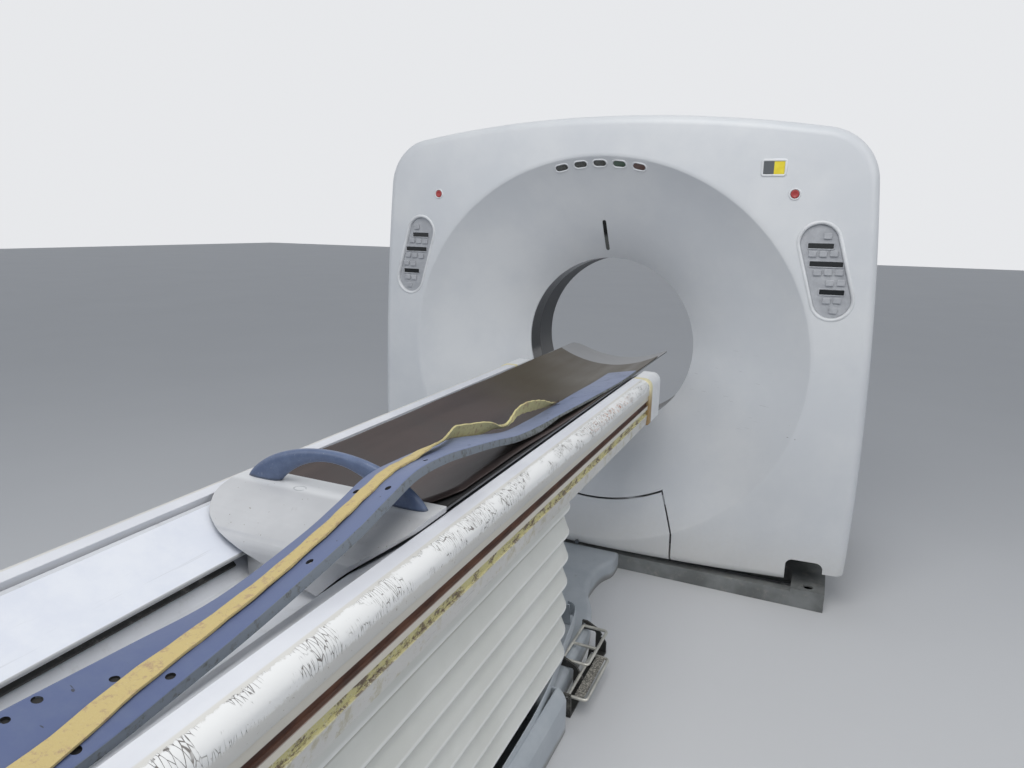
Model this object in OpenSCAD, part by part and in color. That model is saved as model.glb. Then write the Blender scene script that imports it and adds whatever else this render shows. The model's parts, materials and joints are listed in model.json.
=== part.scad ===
// CT scanner: a gantry that tilts between two stands, with the rotor inside it,
// and a couch whose deck rises on a scissor lift and whose tabletop slides.
// Origin: on the floor under the isocentre. +X right when facing the gantry
// from the couch, +Y from the couch into the gantry, +Z up. Millimetres.

/* [Gantry covers] */
// Height of the isocentre above the floor
iso_height = 914; // [904:2:930]
// Inner radius of the patient bore
bore_radius = 360; // [350:2:364]
// Half of the greatest width over the covers
gantry_half_width = 1010; // [1004:2:1040]
// Height of the crown of the covers above the isocentre
crown_rise = 888; // [880:2:920]
// From the isocentre plane forward to the front face
front_reach = 320; // [310:2:330]
// From the isocentre plane back to the rear face
rear_reach = 520; // [510:5:560]
// Wall thickness of the moulded covers
cover_wall = 6; // [5:0.5:7]
// Radius along the front and rear edges of the covers
edge_radius = 35; // [25:1:40]

/* [Gantry works] */
// Room between the rim of the rotor disc and the side arms of the tilt frame
rotor_room = 23; // [17:1:33]
// Radius of the trunnion pins that the gantry tilts on
trunnion_radius = 60; // [50:1:66]
// Gear module of the tilt drive
gear_module = 6; // [5:0.5:6]
// Height of the steel beam under the front cover
beam_height = 62; // [50:1:64]

/* [Couch] */
// Height of the top of the side rails above the floor
couch_height = 871; // [861:1:876]
// Half width over the side rails
couch_half_width = 297; // [294:1:305]
// Length of the side rails
rail_length = 2500; // [2490:10:2700]
// From the isocentre plane to the head end of the side rails
rail_gap = 380; // [375:1:400]
// Length of the tabletop
tabletop_length = 2060; // [2030:5:2090]
// Half width of the tabletop
tabletop_half_width = 220; // [216:1:222]
// Number of folds in the bellows
bellows_folds = 7; // [5:1:9]

/* [Hidden] */

// Running clearance on the radius of every shaft, pin and slide
run = 0.05;
// Gap left between pieces that are only laid or clipped on
seat = 0.3;

// Outline of the gantry seen from the front, as arcs about the isocentre (x, z)
side_arc = 10300;
crown_arc = 5150;
sill_arc = 19000;
top_corner = 197;
sill_corner = 60;
widest_level = -414;
sill_drop = 834;
side_centre = [gantry_half_width - side_arc, widest_level];
crown_centre = [0, crown_rise - crown_arc];
sill_centre = [0, sill_arc - sill_drop];

// Where two circles cross, on the side chosen by the sign
function crossing(p, a, q, b, sign) =
  let (d = norm(q - p), u = (q - p) / d, m = (a * a - b * b + d * d) / (2 * d))
  p + m * u + sign * sqrt(a * a - m * m) * [-u[1], u[0]];
top_centre = crossing(crown_centre, crown_arc - top_corner,
                      side_centre, side_arc - top_corner, -1);
foot_centre = crossing(sill_centre, sill_arc - sill_corner,
                       side_centre, side_arc - sill_corner, 1);

// Point where a corner circle meets the big arc drawn about p
function blend_point(c, r, p) = c + r * (c - p) / norm(c - p);
function bearing_of(p) = atan2(p[1], p[0]);
// Far hit of a ray from the isocentre, direction d, on a circle
function ray_hit(c, r, d) = let (k = c * d) k + sqrt(k * k - c * c + r * r);
// Distance from the isocentre to the outline at an angle, moved in by inset
function outline_reach(angle, inset) =
  let (d = [abs(cos(angle)), sin(angle)],
       a = bearing_of(d),
       a_top = bearing_of(blend_point(top_centre, top_corner - inset, crown_centre)),
       a_side = bearing_of(blend_point(top_centre, top_corner - inset, side_centre)),
       a_low = bearing_of(blend_point(foot_centre, sill_corner - inset, side_centre)),
       a_sill = bearing_of(blend_point(foot_centre, sill_corner - inset, sill_centre)))
  a > a_top ? ray_hit(crown_centre, crown_arc - inset, d) :
  a > a_side ? ray_hit(top_centre, top_corner - inset, d) :
  a > a_low ? ray_hit(side_centre, side_arc - inset, d) :
  a > a_sill ? ray_hit(foot_centre, sill_corner - inset, d) :
  ray_hit(sill_centre, sill_arc - inset, d);

// Angles at which the moulded covers are sampled, closer round the corners
function spread(a, b, n) = [for (i = [0:n - 1]) a + (b - a) * i / n];
right_angles = concat(
  spread(-90, bearing_of(blend_point(foot_centre, sill_corner, sill_centre)), 9),
  spread(bearing_of(blend_point(foot_centre, sill_corner, sill_centre)),
         bearing_of(blend_point(foot_centre, sill_corner, side_centre)), 4),
  spread(bearing_of(blend_point(foot_centre, sill_corner, side_centre)),
         bearing_of(blend_point(top_centre, top_corner, side_centre)), 13),
  spread(bearing_of(blend_point(top_centre, top_corner, side_centre)),
         bearing_of(blend_point(top_centre, top_corner, crown_centre)), 7),
  spread(bearing_of(blend_point(top_centre, top_corner, crown_centre)), 90, 9));
around = concat(right_angles, [90],
                [for (i = [len(right_angles) - 1:-1:1]) 180 - right_angles[i]]);

// Front face, slightly bowed in plan, and the dish that leads to the bore
front_bow = 40;
window_front = -62;
window_rear = 40;
liner_rear = 190;
dish_depth = front_reach + window_front - 8;
cover_split = -150;
rear_split = 352;
dish_half_width = 812;
dish_half_height = 769;
dish_drop = 23;
function side_x(z) = side_centre[0] + sqrt(side_arc * side_arc - pow(z - widest_level, 2));
function crown_z(x) = crown_centre[1] + sqrt(crown_arc * crown_arc - x * x);
function face_y(x) = front_bow * pow(x / 1000, 2) - front_reach;
// Distance from the isocentre to the elliptical crease round the dish
function crease_reach(angle) =
  let (c = cos(angle) / dish_half_width,
       s = sin(angle) / dish_half_height,
       k = dish_drop / dish_half_height,
       a = c * c + s * s,
       b = s * k)
  (-b + sqrt(b * b - a * (k * k - 1))) / a;
// Share of the depth reached at share s of the way in to the bore
function dish_fall(s) = 1.25 * s - 0.75 * s * s + 0.5 * s * s * s;
function dish_y(angle, s) =
  let (y0 = face_y(crease_reach(angle) * cos(angle)))
  y0 + (dish_depth - front_reach - y0) * dish_fall(s);
function dish_point(angle, s, rise) =
  let (rc = crease_reach(angle),
       r = rc + (bore_radius - rc) * s)
  [r * cos(angle), dish_y(angle, s) + rise, r * sin(angle)];
// Dish surface above a point of the front view
function dish_share(x, z) =
  let (rc = crease_reach(atan2(z, x))) (rc - norm([x, z])) / (rc - bore_radius);
function dish_at(x, z) = dish_y(atan2(z, x), dish_share(x, z));

// Side rails and deck of the couch
rail_head = -rail_gap;
rail_foot = rail_head - rail_length;
rail_inner = couch_half_width - 65;
deck_floor = couch_height - 116;
trough_half = 88;
deck_edge = rail_inner - 7;
table_sag = couch_height - 78;
table_low_arc = 365;
table_top_arc = 460;
table_head = 160;
table_foot = table_head - tabletop_length;
table_centre = table_sag + 22;
wedge_back = -2075;
wedge_front = -1875;

// Scissor lift
lift_foot = -2350;
arm_length = 1000;
frame_level = couch_height - 171;
arm_low = 160;
arm_high = frame_level - 40;
lift_angle = asin((arm_high - arm_low) / arm_length);
arm_run = arm_length * cos(lift_angle);
// How far the lift goes up and down, and the arms' reach along the couch there
lift_up = 80;
lift_down = 100;
arm_reach_min = round(arm_length * cos(lift_angle + lift_up / arm_run * 180 / PI));
arm_reach_max = round(arm_length * cos(lift_angle - lift_down / arm_run * 180 / PI));
arm_pin = 15;
// Room that the far ends of the arms need, because they swing on arcs
arm_slack = 5;
jack_y = lift_foot + arm_run / 2;

// Tilt drive: the pinion stands below the trunnion, on the right stand
sector_teeth = 100;
pinion_teeth = 20;
sector_radius = gear_module * sector_teeth / 2;
pinion_radius = gear_module * pinion_teeth / 2;
pinion_y = 60;
pinion_drop = sqrt(pow(sector_radius + pinion_radius, 2) - pinion_y * pinion_y);
mesh_angle = atan2(-pinion_drop, pinion_y);
stand_inner = gantry_half_width - 180;
stand_outer = stand_inner + 100;
arm_plate = stand_inner - 45;
arm_thick = 22;
// Outer radius of the rotor disc, which is also its belt pulley
rotor_radius = arm_plate - arm_thick - rotor_room;

// Extrusions named by the axis that they run along
module along_y(y0, y1)
  translate([0, y1, 0]) rotate([90, 0, 0]) linear_extrude(y1 - y0) children();
module along_x(x0, x1)
  translate([x0, 0, 0]) rotate([90, 0, 90]) linear_extrude(x1 - x0) children();
module along_z(z0, z1)
  translate([0, 0, z0]) linear_extrude(z1 - z0) children();
// Turns a revolved profile so that its axis runs along Y
module axial() rotate([-90, 0, 0]) children();
module at_iso() translate([0, 0, iso_height]) children();
module both_sides() {
  children();
  mirror([1, 0, 0]) children();
}
module box(x0, x1, y0, y1, z0, z1)
  translate([x0, y0, z0]) cube([x1 - x0, y1 - y0, z1 - z0]);
module ring(r0, r1, y0, y1, fn = 180)
  along_y(y0, y1) difference() {
    circle(r1, $fn = fn);
    circle(r0, $fn = fn);
  }
// Straight slot or stadium between two points
module stadium(p, q, r) {
  d = q - p;
  translate(p) circle(r, $fn = 48);
  translate(q) circle(r, $fn = 48);
  translate(p) rotate(atan2(d[1], d[0])) translate([0, -r]) square([norm(d), 2 * r]);
}
// Closed skin through rings of equally many points, the last joined to the first
module skin(rings) {
  n = len(rings[0]);
  m = len(rings);
  polyhedron(
    points = [for (r = rings) for (p = r) p],
    faces = [for (i = [0:m - 1]) for (j = [0:n - 1])
      let (a = i * n + j, b = i * n + (j + 1) % n,
           c = ((i + 1) % m) * n + (j + 1) % n, d = ((i + 1) % m) * n + j)
      each [[a, d, c], [a, c, b]]]);
}
// Solid through sections with closed ends
module loft(rings) {
  n = len(rings[0]);
  m = len(rings);
  polyhedron(
    points = [for (r = rings) for (p = r) p],
    faces = concat(
      [for (i = [0:m - 2]) for (j = [0:n - 1])
        let (a = i * n + j, b = i * n + (j + 1) % n, c = a + n, d = b + n)
        each [[a, b, d], [a, d, c]]],
      [[for (j = [n - 1:-1:0]) j]],
      [[for (j = [0:n - 1]) (m - 1) * n + j]]));
}
// Gantry outline with true arcs, moved in by inset
module outline(inset) {
  reach = 400;
  for (side = [0, 1]) mirror([side, 0]) {
    translate(top_centre) circle(top_corner - inset, $fn = 96);
    translate(foot_centre) circle(sill_corner - inset, $fn = 48);
  }
  difference() {
    intersection() {
      translate(crown_centre) circle(crown_arc - inset, $fn = 720);
      translate(sill_centre) circle(sill_arc - inset, $fn = 1440);
      translate(side_centre) circle(side_arc - inset, $fn = 1440);
      mirror([1, 0]) translate(side_centre) circle(side_arc - inset, $fn = 1440);
    }
    for (side = [0, 1]) mirror([side, 0]) {
      polygon([top_centre,
               blend_point(top_centre, reach, crown_centre),
               top_centre + [reach, reach],
               blend_point(top_centre, reach, side_centre)]);
      polygon([foot_centre,
               blend_point(foot_centre, reach, side_centre),
               foot_centre + [reach, -reach],
               blend_point(foot_centre, reach, sill_centre)]);
    }
  }
}
// Ring of the moulded covers on the outline
function outline_ring(inset, y, bow) =
  [for (a = around) let (r = outline_reach(a, inset), x = r * cos(a))
    [x, y + bow * pow(x / 1000, 2), r * sin(a)]];
function dish_ring(s, rise) = [for (a = around) dish_point(a, s, rise)];
function round_ring(r, y) = [for (a = around) [r * cos(a), y, r * sin(a)]];

// Gear: tooth flanks are involutes of the base circle
function involute(rb, turn, t) =
  let (a = t + turn) rb * [cos(a) + t * PI / 180 * sin(a), sin(a) - t * PI / 180 * cos(a)];
module tooth(teeth, m, play) {
  rp = m * teeth / 2;
  rb = rp * cos(20);
  tip = rp + m;
  pitch_roll = sqrt(pow(rp / rb, 2) - 1) * 180 / PI;
  half = 90 / teeth - play / rp * 90 / PI + pitch_roll - atan(pitch_roll * PI / 180);
  last = sqrt(pow(tip / rb, 2) - 1) * 180 / PI;
  flank = [for (i = [0:5]) involute(rb, -half, last * i / 5)];
  root = rp - 1.3 * m;
  polygon(concat([[root * cos(half), -root * sin(half)]], flank,
                 [for (i = [5:-1:0]) [flank[i][0], -flank[i][1]]],
                 [[root * cos(half), root * sin(half)]]));
}

// Places children on the front face: local -Y looks out of the cover
module on_face(x, z)
  translate([x, face_y(x), z]) rotate([0, 0, atan(front_bow * 2 * x / 1000000)]) children();
// Places children on the dish near its crease
module on_dish(x, z) {
  fall = (dish_at(x * 0.99, z * 0.99) - dish_at(x, z)) / norm([x, z]) * 100;
  translate([x, dish_at(x, z), z])
    rotate([0, 90 - atan2(z, x), 0]) rotate([atan(fall), 0, 0]) children();
}

// Control panels: leaning stadium on the right, mirrored on the left
panel_top = [gantry_half_width - 217, 448];
panel_bottom = [gantry_half_width - 157, 252];
panel_radius = 66;
panel_mid = (panel_top + panel_bottom) / 2;
key_places = [[818, 470], [775, 409], [809, 410], [843, 412], [797, 346], [831, 348],
              [866, 349], [840, 312], [876, 314], [836, 251], [870, 253], [861, 218]];
// Display windows: left end, right end, level
display_places = [[759, 839, 436], [770, 875, 375], [811, 889, 280]];
measured_half_width = 1010;
module on_panel() on_face(panel_mid[0], panel_mid[1]) children();
module panel_shape(r)
  stadium(panel_top - panel_mid, panel_bottom - panel_mid, r);
function to_panel(p) = [p[0] + gantry_half_width - measured_half_width, p[1]] - panel_mid;

stop_place = [gantry_half_width - 311, 607];
stop_radius = 14;
status_place = [gantry_half_width - 378, 649];
status_half = [34, 21];
lamp_places = [[-152, -42], [-76, -31], [0, -27], [76, -31], [152, -42]];
crease_top = crease_reach(90);
laser_x = -12;
laser_near = 512;
laser_far = 391;

// The notches that let the stands and the feet past when the gantry tilts
module notch(x0, x1, z0, z1, r) {
  square_part = [[x0, z0 - 1], [x1, z0 - 1], [x1, z1 - r], [x1 - r, z1 - r],
                 [x1 - r, z1], [x0 + r, z1], [x0 + r, z1 - r], [x0, z1 - r]];
  polygon(square_part);
  translate([x0 + r, z1 - r]) circle(r, $fn = 32);
  translate([x1 - r, z1 - r]) circle(r, $fn = 32);
}
notch_top = -724;
tail_level = -700;

// Service panel outline, cut through the lower dish
panel_gap = 8;
module service_outline(grow) {
  difference() {
    polygon([[-373 - grow, -900], [373 + grow, -900], [369 + grow, -709],
             [292 + grow, -540], [-292 - grow, -540], [-369 - grow, -709]]);
    circle(645 - grow, $fn = 180);
  }
}

module front_skin() {
  rolls = [0, 30, 60, 90];
  skin(concat(
    [outline_ring(0, cover_split, 0)],
    [for (w = rolls) outline_ring(edge_radius * (1 - cos(w)),
                                  edge_radius * (1 - sin(w)) - front_reach, front_bow)],
    [for (s = [0, 0.12, 0.28, 0.44, 0.6, 0.75, 0.88, 1]) dish_ring(s, 0)],
    [round_ring(bore_radius, window_front), round_ring(bore_radius + cover_wall, window_front)],
    [for (s = [0.88, 0.6, 0.28, 0]) dish_ring(s, cover_wall * 1.25)],
    [outline_ring(edge_radius, cover_wall - front_reach, front_bow)],
    [outline_ring(edge_radius / 2, cover_wall + edge_radius / 5 - front_reach, front_bow)],
    [outline_ring(cover_wall, edge_radius - front_reach, front_bow)],
    [outline_ring(cover_wall, cover_split, 0)]));
}

// Rear cover: rounded tail and a funnel out of the bore
funnel_mouth = bore_radius + 200;
function funnel_ring(s, rise) =
  let (grow = rise > 0 ? cover_wall : 0, r = funnel_mouth + (bore_radius - funnel_mouth) * s)
  round_ring(r + grow, rear_reach - grow * (1 - s) - (rear_reach - liner_rear) * dish_fall(s));
module rear_skin() {
  skin(concat(
    [outline_ring(cover_wall, rear_split, 0)],
    [outline_ring(cover_wall, rear_reach - edge_radius, 0)],
    [outline_ring(edge_radius / 2, rear_reach - cover_wall - edge_radius / 5, 0)],
    [outline_ring(edge_radius, rear_reach - cover_wall, 0)],
    [for (s = [0, 0.25, 0.5, 0.75, 1]) funnel_ring(s, 1)],
    [for (s = [1, 0.86, 0.72, 0.56, 0.4, 0.2, 0]) funnel_ring(s, 0)],
    [for (w = [90, 60, 30, 0]) outline_ring(edge_radius * (1 - cos(w)),
                                            rear_reach - edge_radius * (1 - sin(w)), 0)],
    [outline_ring(0, rear_split, 0)]));
}

// Gantry base: welded steel frame on the floor
beam_front = 25 - front_reach;
beam_depth = 40;
base_rear = 330;
foot_height = 74;
tie_height = 12;
module gantry_base() color("#8d9193") {
  both_sides() difference() {
    box(stand_inner, stand_outer + 20, beam_front, base_rear, 0, foot_height);
    box(stand_inner + 8, stand_outer + 12, beam_front + 8, base_rear - 8, -1, foot_height - 8);
    translate([stand_inner + 61, beam_front + 39, 0]) cylinder(r = 18, h = 100, $fn = 48);
  }
  difference() {
    box(-stand_inner, stand_inner, beam_front, beam_front + beam_depth, 0, beam_height);
    box(-stand_inner - 1, stand_inner + 1, beam_front + 5, beam_front + beam_depth - 5,
        5, beam_height - 5);
  }
  box(-stand_inner, stand_inner, base_rear - beam_depth, base_rear, 0, beam_height);
  box(-stand_inner, stand_inner, -110, 110, 0, tie_height);
  box(-120, 120, beam_front + beam_depth, base_rear - beam_depth, 0, tie_height);
}

// Stand: column up to the trunnion bearing
module stand() {
  head = trunnion_radius + 65;
  difference() {
    union() {
      box(stand_inner, stand_outer, -20, 125, foot_height, foot_height + 16);
      along_x(stand_inner, stand_outer) {
        translate([10, foot_height]) square([100, iso_height - foot_height]);
        polygon([[10, iso_height - 300], [110, iso_height - 300],
                 [110, iso_height - 58], [-110, iso_height - 58]]);
        translate([0, iso_height]) circle(head, $fn = 120);
      }
    }
    along_x(stand_inner - 1, stand_outer + 1)
      translate([0, iso_height]) circle(trunnion_radius + run, $fn = 120);
    along_x(stand_outer - 40, stand_outer + 1)
      translate([30, foot_height + 60]) square([60, 260]);
    for (y = [-8, 118]) translate([(stand_inner + stand_outer) / 2, y, foot_height - 1])
      cylinder(r = 5, h = 20, $fn = 24);
  }
}
module left_stand() color("#5f6467") mirror([1, 0, 0]) stand();
module right_stand() color("#5f6467") difference() {
  stand();
  at_iso() along_x(stand_inner - 1, stand_outer + 1)
    translate([pinion_y, -pinion_drop]) circle(arm_pin + run, $fn = 48);
}

// Tilt drive
shaft_end = stand_outer + 20;
module at_pinion() at_iso() translate([0, pinion_y, -pinion_drop]) children();
module tilt_motor() color("#3f464c") at_pinion() difference() {
  union() {
    along_x(stand_outer, stand_outer + 54) circle(78, $fn = 96);
    along_x(stand_outer, stand_outer + 12) translate([-50, -85]) square([100, 170]);
  }
  along_x(stand_outer - 1, shaft_end + 1) circle(arm_pin + run, $fn = 48);
}
gear_face = 26;
module tilt_pinion() color("#b3b7ba") at_pinion() {
  along_x(arm_plate + 2, arm_plate + 2 + gear_face) {
    circle(pinion_radius - 1.3 * gear_module + 0.5, $fn = 96);
    for (i = [0:pinion_teeth - 1])
      rotate(mesh_angle + 180 + (i + 0.5) * 360 / pinion_teeth)
        tooth(pinion_teeth, gear_module, 0.3);
  }
  along_x(arm_plate + 1, shaft_end) circle(arm_pin, $fn = 48);
}
module tilt_gear_sector() color("#a3a7aa") at_iso()
  along_x(arm_plate, arm_plate + gear_face + 2) {
    difference() {
      circle(sector_radius - 1.3 * gear_module + 0.5, $fn = 180);
      circle(sector_radius - 110, $fn = 120);
      polygon([[0, 0], 900 * [cos(-36), sin(-36)], [900, 900], [-900, 900],
               900 * [cos(-116), sin(-116)]]);
    }
    for (i = [-8:11]) rotate(mesh_angle + i * 360 / sector_teeth)
      tooth(sector_teeth, gear_module, 0.3);
  }

// Tilting frame: plate with the main bearing, side arms and trunnion pins
plate_front = 200;
plate_thick = 40;
hub_radius = bore_radius + 22;
race_inner = hub_radius + 33;
race_outer = race_inner + 25;
motor_place = [145 - arm_plate, -600];
pulley_radius = 50;
module tilt_frame() color("#6e7478") at_iso() {
  difference() {
    along_y(plate_front, plate_front + plate_thick)
      polygon([[-arm_plate, -690], [arm_plate, -690], [arm_plate, 640],
               [arm_plate - 165, 800], [165 - arm_plate, 800], [-arm_plate, 640]]);
    axial() cylinder(r = race_outer, h = 600, $fn = 180);
    translate([motor_place[0], plate_front - 1, motor_place[1]])
      axial() cylinder(r = 40, h = plate_thick + 2, $fn = 64);
  }
  both_sides() {
    box(arm_plate - arm_thick, arm_plate, -110, plate_front, -250, 250);
    along_x(arm_plate - 2, stand_outer - 4) circle(trunnion_radius, $fn = 120);
    along_x(arm_plate - 2, arm_plate + 12) circle(trunnion_radius + 40, $fn = 120);
    box(arm_plate, side_x(340) - cover_wall - seat, plate_front, plate_front + plate_thick,
        300, 340);
    box(300, 340, plate_front, plate_front + plate_thick,
        800, crown_z(340) - cover_wall - seat);
  }
}
module bearing_outer_race() color("#c3c7ca") at_iso() difference() {
  union() {
    ring(race_inner, race_outer - 1, 120, plate_front);
    ring(race_inner, race_outer + 40, plate_front - 16, plate_front);
  }
  for (i = [0:7]) rotate([0, i * 45 + 20, 0]) translate([race_outer + 22, plate_front - 20, 0])
    axial() cylinder(r = 6, h = 30, $fn = 24);
}
module drive_motor() color("#4a5258") at_iso()
  translate([motor_place[0], 0, motor_place[1]]) difference() {
    union() {
      translate([0, plate_front + plate_thick, 0]) axial() cylinder(r = 72, h = 150, $fn = 96);
      box(-60, 60, plate_front + plate_thick, plate_front + plate_thick + 14, -60, 60);
    }
    translate([0, plate_front, 0]) axial() cylinder(r = 12 + run, h = 100, $fn = 48);
  }

// Belt from the motor pulley round the rotor disc
disc_front = 70;
disc_rear = 95;
belt_gap = 0.3;
belt_thick = 4;
module belt_shape(grow) {
  big = rotor_radius + grow;
  small = pulley_radius + grow;
  reach = norm(motor_place);
  lean = acos((big - small) / reach);
  heading = atan2(motor_place[1], motor_place[0]);
  circle(big, $fn = 240);
  translate(motor_place) circle(small, $fn = 72);
  polygon([big * [cos(heading + lean), sin(heading + lean)],
           motor_place + small * [cos(heading + lean), sin(heading + lean)],
           motor_place + small * [cos(heading - lean), sin(heading - lean)],
           big * [cos(heading - lean), sin(heading - lean)]]);
}
module drive_belt() color("#222426") at_iso() along_y(disc_front + 3, disc_rear - 3)
  difference() {
    belt_shape(belt_gap + belt_thick);
    belt_shape(belt_gap);
  }
module motor_pulley() color("#9a9ea1") at_iso()
  translate([motor_place[0], 0, motor_place[1]]) {
    translate([0, disc_front, 0])
      axial() cylinder(r = pulley_radius, h = disc_rear - disc_front, $fn = 72);
    for (y = [disc_front, disc_rear - 2]) translate([0, y, 0])
      axial() cylinder(r = pulley_radius + 7, h = 2, $fn = 72);
    translate([0, disc_rear - 1, 0]) axial()
      cylinder(r = 12, h = plate_front + plate_thick + 40 - disc_rear, $fn = 48);
  }

// Rotor: disc and hub, and what rides on them
drum_radius = hub_radius + 18;
track_inner = rotor_radius - 140;
track_outer = rotor_radius - 80;
module rotor_drum() color("#7f868a") at_iso() difference() {
  union() {
    ring(hub_radius, rotor_radius, disc_front, disc_rear, 240);
    ring(hub_radius, drum_radius, 60, plate_front, 180);
  }
  for (i = [0:7]) rotate([0, i * 45 + 22.5, 0])
    translate([(drum_radius + track_inner) / 2, disc_front - 1, 0])
      axial() cylinder(r = (track_inner - drum_radius) / 2 - 40, h = 40, $fn = 64);
}
ball_radius = 7.45;
module bearing_balls() color("#d5d8da") at_iso() {
  track = hub_radius + 25.5;
  for (i = [0:35]) rotate([0, i * 10, 0]) translate([track, 160, 0])
    sphere(ball_radius, $fn = 32);
  ring(track - 2, track + 2, 157, 163);
}
module xray_tube() color("#b9bdbf") at_iso() translate([0, 0, hub_radius + 230]) {
  translate([0, -100, 0]) axial() cylinder(r = 80, h = 170, $fn = 96);
  translate([0, -110, 0]) axial() cylinder(r = 60, h = 12, $fn = 96);
  box(-120, 120, 20, disc_front, -60, 60);
  box(-28, 28, -70, -20, -90, 0);
}
module collimator() color("#565c60") at_iso() difference() {
  box(-110, 110, -80, disc_front, hub_radius + 48, hub_radius + 138);
  box(-80, 80, -20, 0, hub_radius + 18, hub_radius + 218);
}
module detector_arc() color("#4b5154") at_iso() difference() {
  along_y(-55, disc_front) difference() {
    circle(hub_radius + 163, $fn = 240);
    circle(hub_radius + 88, $fn = 240);
    polygon([[0, 0], 900 * [cos(-62), sin(-62)], [900, 900], [-900, 900],
             900 * [cos(-118), sin(-118)]]);
  }
  along_y(-35, 20) difference() {
    circle(hub_radius + 118, $fn = 240);
    circle(hub_radius + 78, $fn = 240);
    polygon([[0, 0], 900 * [cos(-65), sin(-65)], [900, 900], [-900, 900],
             900 * [cos(-115), sin(-115)]]);
  }
}
module rotor_box(angle, half, front) rotate([0, -angle, 0]) {
  r0 = hub_radius + 108;
  r1 = rotor_radius - 50;
  difference() {
    box(r0, r1, front, disc_front, -half, half);
    box(r0 + 20, r1 - 20, front - 1, front + 3, 15 - half, half - 15);
  }
}
module high_voltage_generator() color("#a9a294") at_iso() rotor_box(15, 160, -90);
module inverter_box() color("#8e9aa3") at_iso() rotor_box(165, 160, -70);
module slip_ring() color("#c79a4b") at_iso() difference() {
  ring(track_inner, track_outer, disc_rear, disc_rear + 24, 240);
  for (i = [0:3]) let (r = track_inner + 6 + 14 * i)
    ring(r, r + 6, disc_rear + 20, disc_rear + 25, 240);
}
module brush_block() color("#33373a") at_iso() rotate([0, 25, 0]) {
  box(track_inner - 15, track_outer + 15, disc_rear + 60, plate_front, -45, 45);
  for (i = [0:2]) let (r = track_inner + 13 + 14 * i)
    box(r, r + 6, disc_rear + 24 + belt_gap, disc_rear + 61, -12, 12);
}

// Moulded covers
module front_cover() color("#e9ebec") at_iso() difference() {
  front_skin();
  for (side = [0, 1]) mirror([side, 0, 0]) {
    along_y(-400, 0) notch(stand_inner - 28, stand_outer + 2, -1000, notch_top, 25);
    box(stand_outer - 20, gantry_half_width + 20, -400, 0, -1000, -764);
    on_panel() along_y(-40, 40) panel_shape(panel_radius + 0.3);
    on_face(stop_place[0], stop_place[1]) {
      along_y(-40, 40) circle(stop_radius + 0.1, $fn = 48);
      along_y(-40, 2) circle(20, $fn = 48);
    }
  }
  on_face(status_place[0], status_place[1])
    along_y(-40, 40) square(2 * status_half + [0.6, 0.6], center = true);
  for (p = lamp_places) on_dish(p[0], crease_top + p[1])
    along_y(-30, 30) stadium([-12, 0], [12, 0], 12.2);
  along_x(laser_x - 8, laser_x + 8)
    polygon([[-300, laser_near], [0, laser_near], [0, laser_far], [-300, laser_far]]);
  along_y(-400, 100) service_outline(panel_gap / 2);
}
// Clips behind the panel reach past the gap and hold it on the cover, whose wall is
// a little thicker there than at its edge
clip_front = cover_wall * 1.14 + seat;
module service_panel() color("#e2e4e6") at_iso() {
  intersection() {
    front_skin();
    along_y(-400, cover_split + 100) service_outline(-panel_gap / 2);
  }
  both_sides() on_face(373, -770) {
    box(-24, -6, cover_wall - 1, clip_front + 4, -25, 25);
    box(-7, 26, clip_front, clip_front + 4, -25, 25);
  }
}
module top_cover() color("#e9ebec") at_iso() along_y(cover_split, rear_split)
  difference() {
    outline(0);
    outline(cover_wall);
    translate([-1500, -1500]) square([3000, 1500 + top_centre[1] - 20]);
  }
module side_covers() color("#e4e6e8") at_iso() along_y(cover_split, rear_split)
  difference() {
    outline(0);
    outline(cover_wall);
    translate([-1500, top_centre[1] - 20 - seat]) square([3000, 900]);
    translate([-1500, -1500]) square([3000, 1500 + tail_level]);
  }
module rear_cover() color("#e2e4e6") at_iso() difference() {
  rear_skin();
  box(-1500, 1500, 0, 900, -1500, tail_level);
  both_sides() box(stand_inner - 15, stand_outer + 28, 400, 900, -1500, tail_level + 60);
}
module bore_liner() color("#45484b") at_iso()
  ring(bore_radius, bore_radius + 4, window_rear, liner_rear);
module scan_window() color("#141516") at_iso()
  ring(bore_radius, bore_radius + 3, window_front, window_rear);

// Controls on the front face
module panel_pair() {
  children();
  mirror([1, 0, 0]) children();
}
module panel_housings() color("#c9ccd0") at_iso() panel_pair() on_panel() {
  along_y(12, 16) panel_shape(panel_radius);
  along_y(-2, 13) difference() {
    panel_shape(panel_radius);
    panel_shape(panel_radius - 4);
  }
}
module keypads() color("#eceef0") at_iso() panel_pair() on_panel() difference() {
  union() {
    along_y(9, 12) panel_shape(panel_radius - 6);
    for (p = key_places) translate([to_panel(p)[0] - 15, 4, to_panel(p)[1] - 13])
      cube([30, 6, 26]);
  }
  for (d = display_places) let (p = to_panel([d[0], d[2]]))
    box(p[0] - 0.2, p[0] + d[1] - d[0] + 0.2, 0, 20, p[1] - 8.2, p[1] + 8.2);
}
module panel_displays() color("#1c2327") at_iso() panel_pair() on_panel()
  for (d = display_places) let (p = to_panel([d[0], d[2]]))
    box(p[0], p[0] + d[1] - d[0], 8, 12, p[1] - 8, p[1] + 8);
module stop_button() on_face(stop_place[0], stop_place[1]) {
  along_y(-3, 10) circle(stop_radius, $fn = 48);
}
module right_stop_button() color("#c2201d") at_iso() stop_button();
module left_stop_button() color("#c2201d") at_iso() mirror([1, 0, 0]) stop_button();
module status_window() color("#e6d21e") at_iso() on_face(status_place[0], status_place[1])
  along_y(-1, 8) square(2 * status_half, center = true);
module indicator_lamps() color("#7e8a86") at_iso() for (p = lamp_places)
  on_dish(p[0], crease_top + p[1]) along_y(1, 9) stadium([-12, 0], [12, 0], 12);
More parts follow.
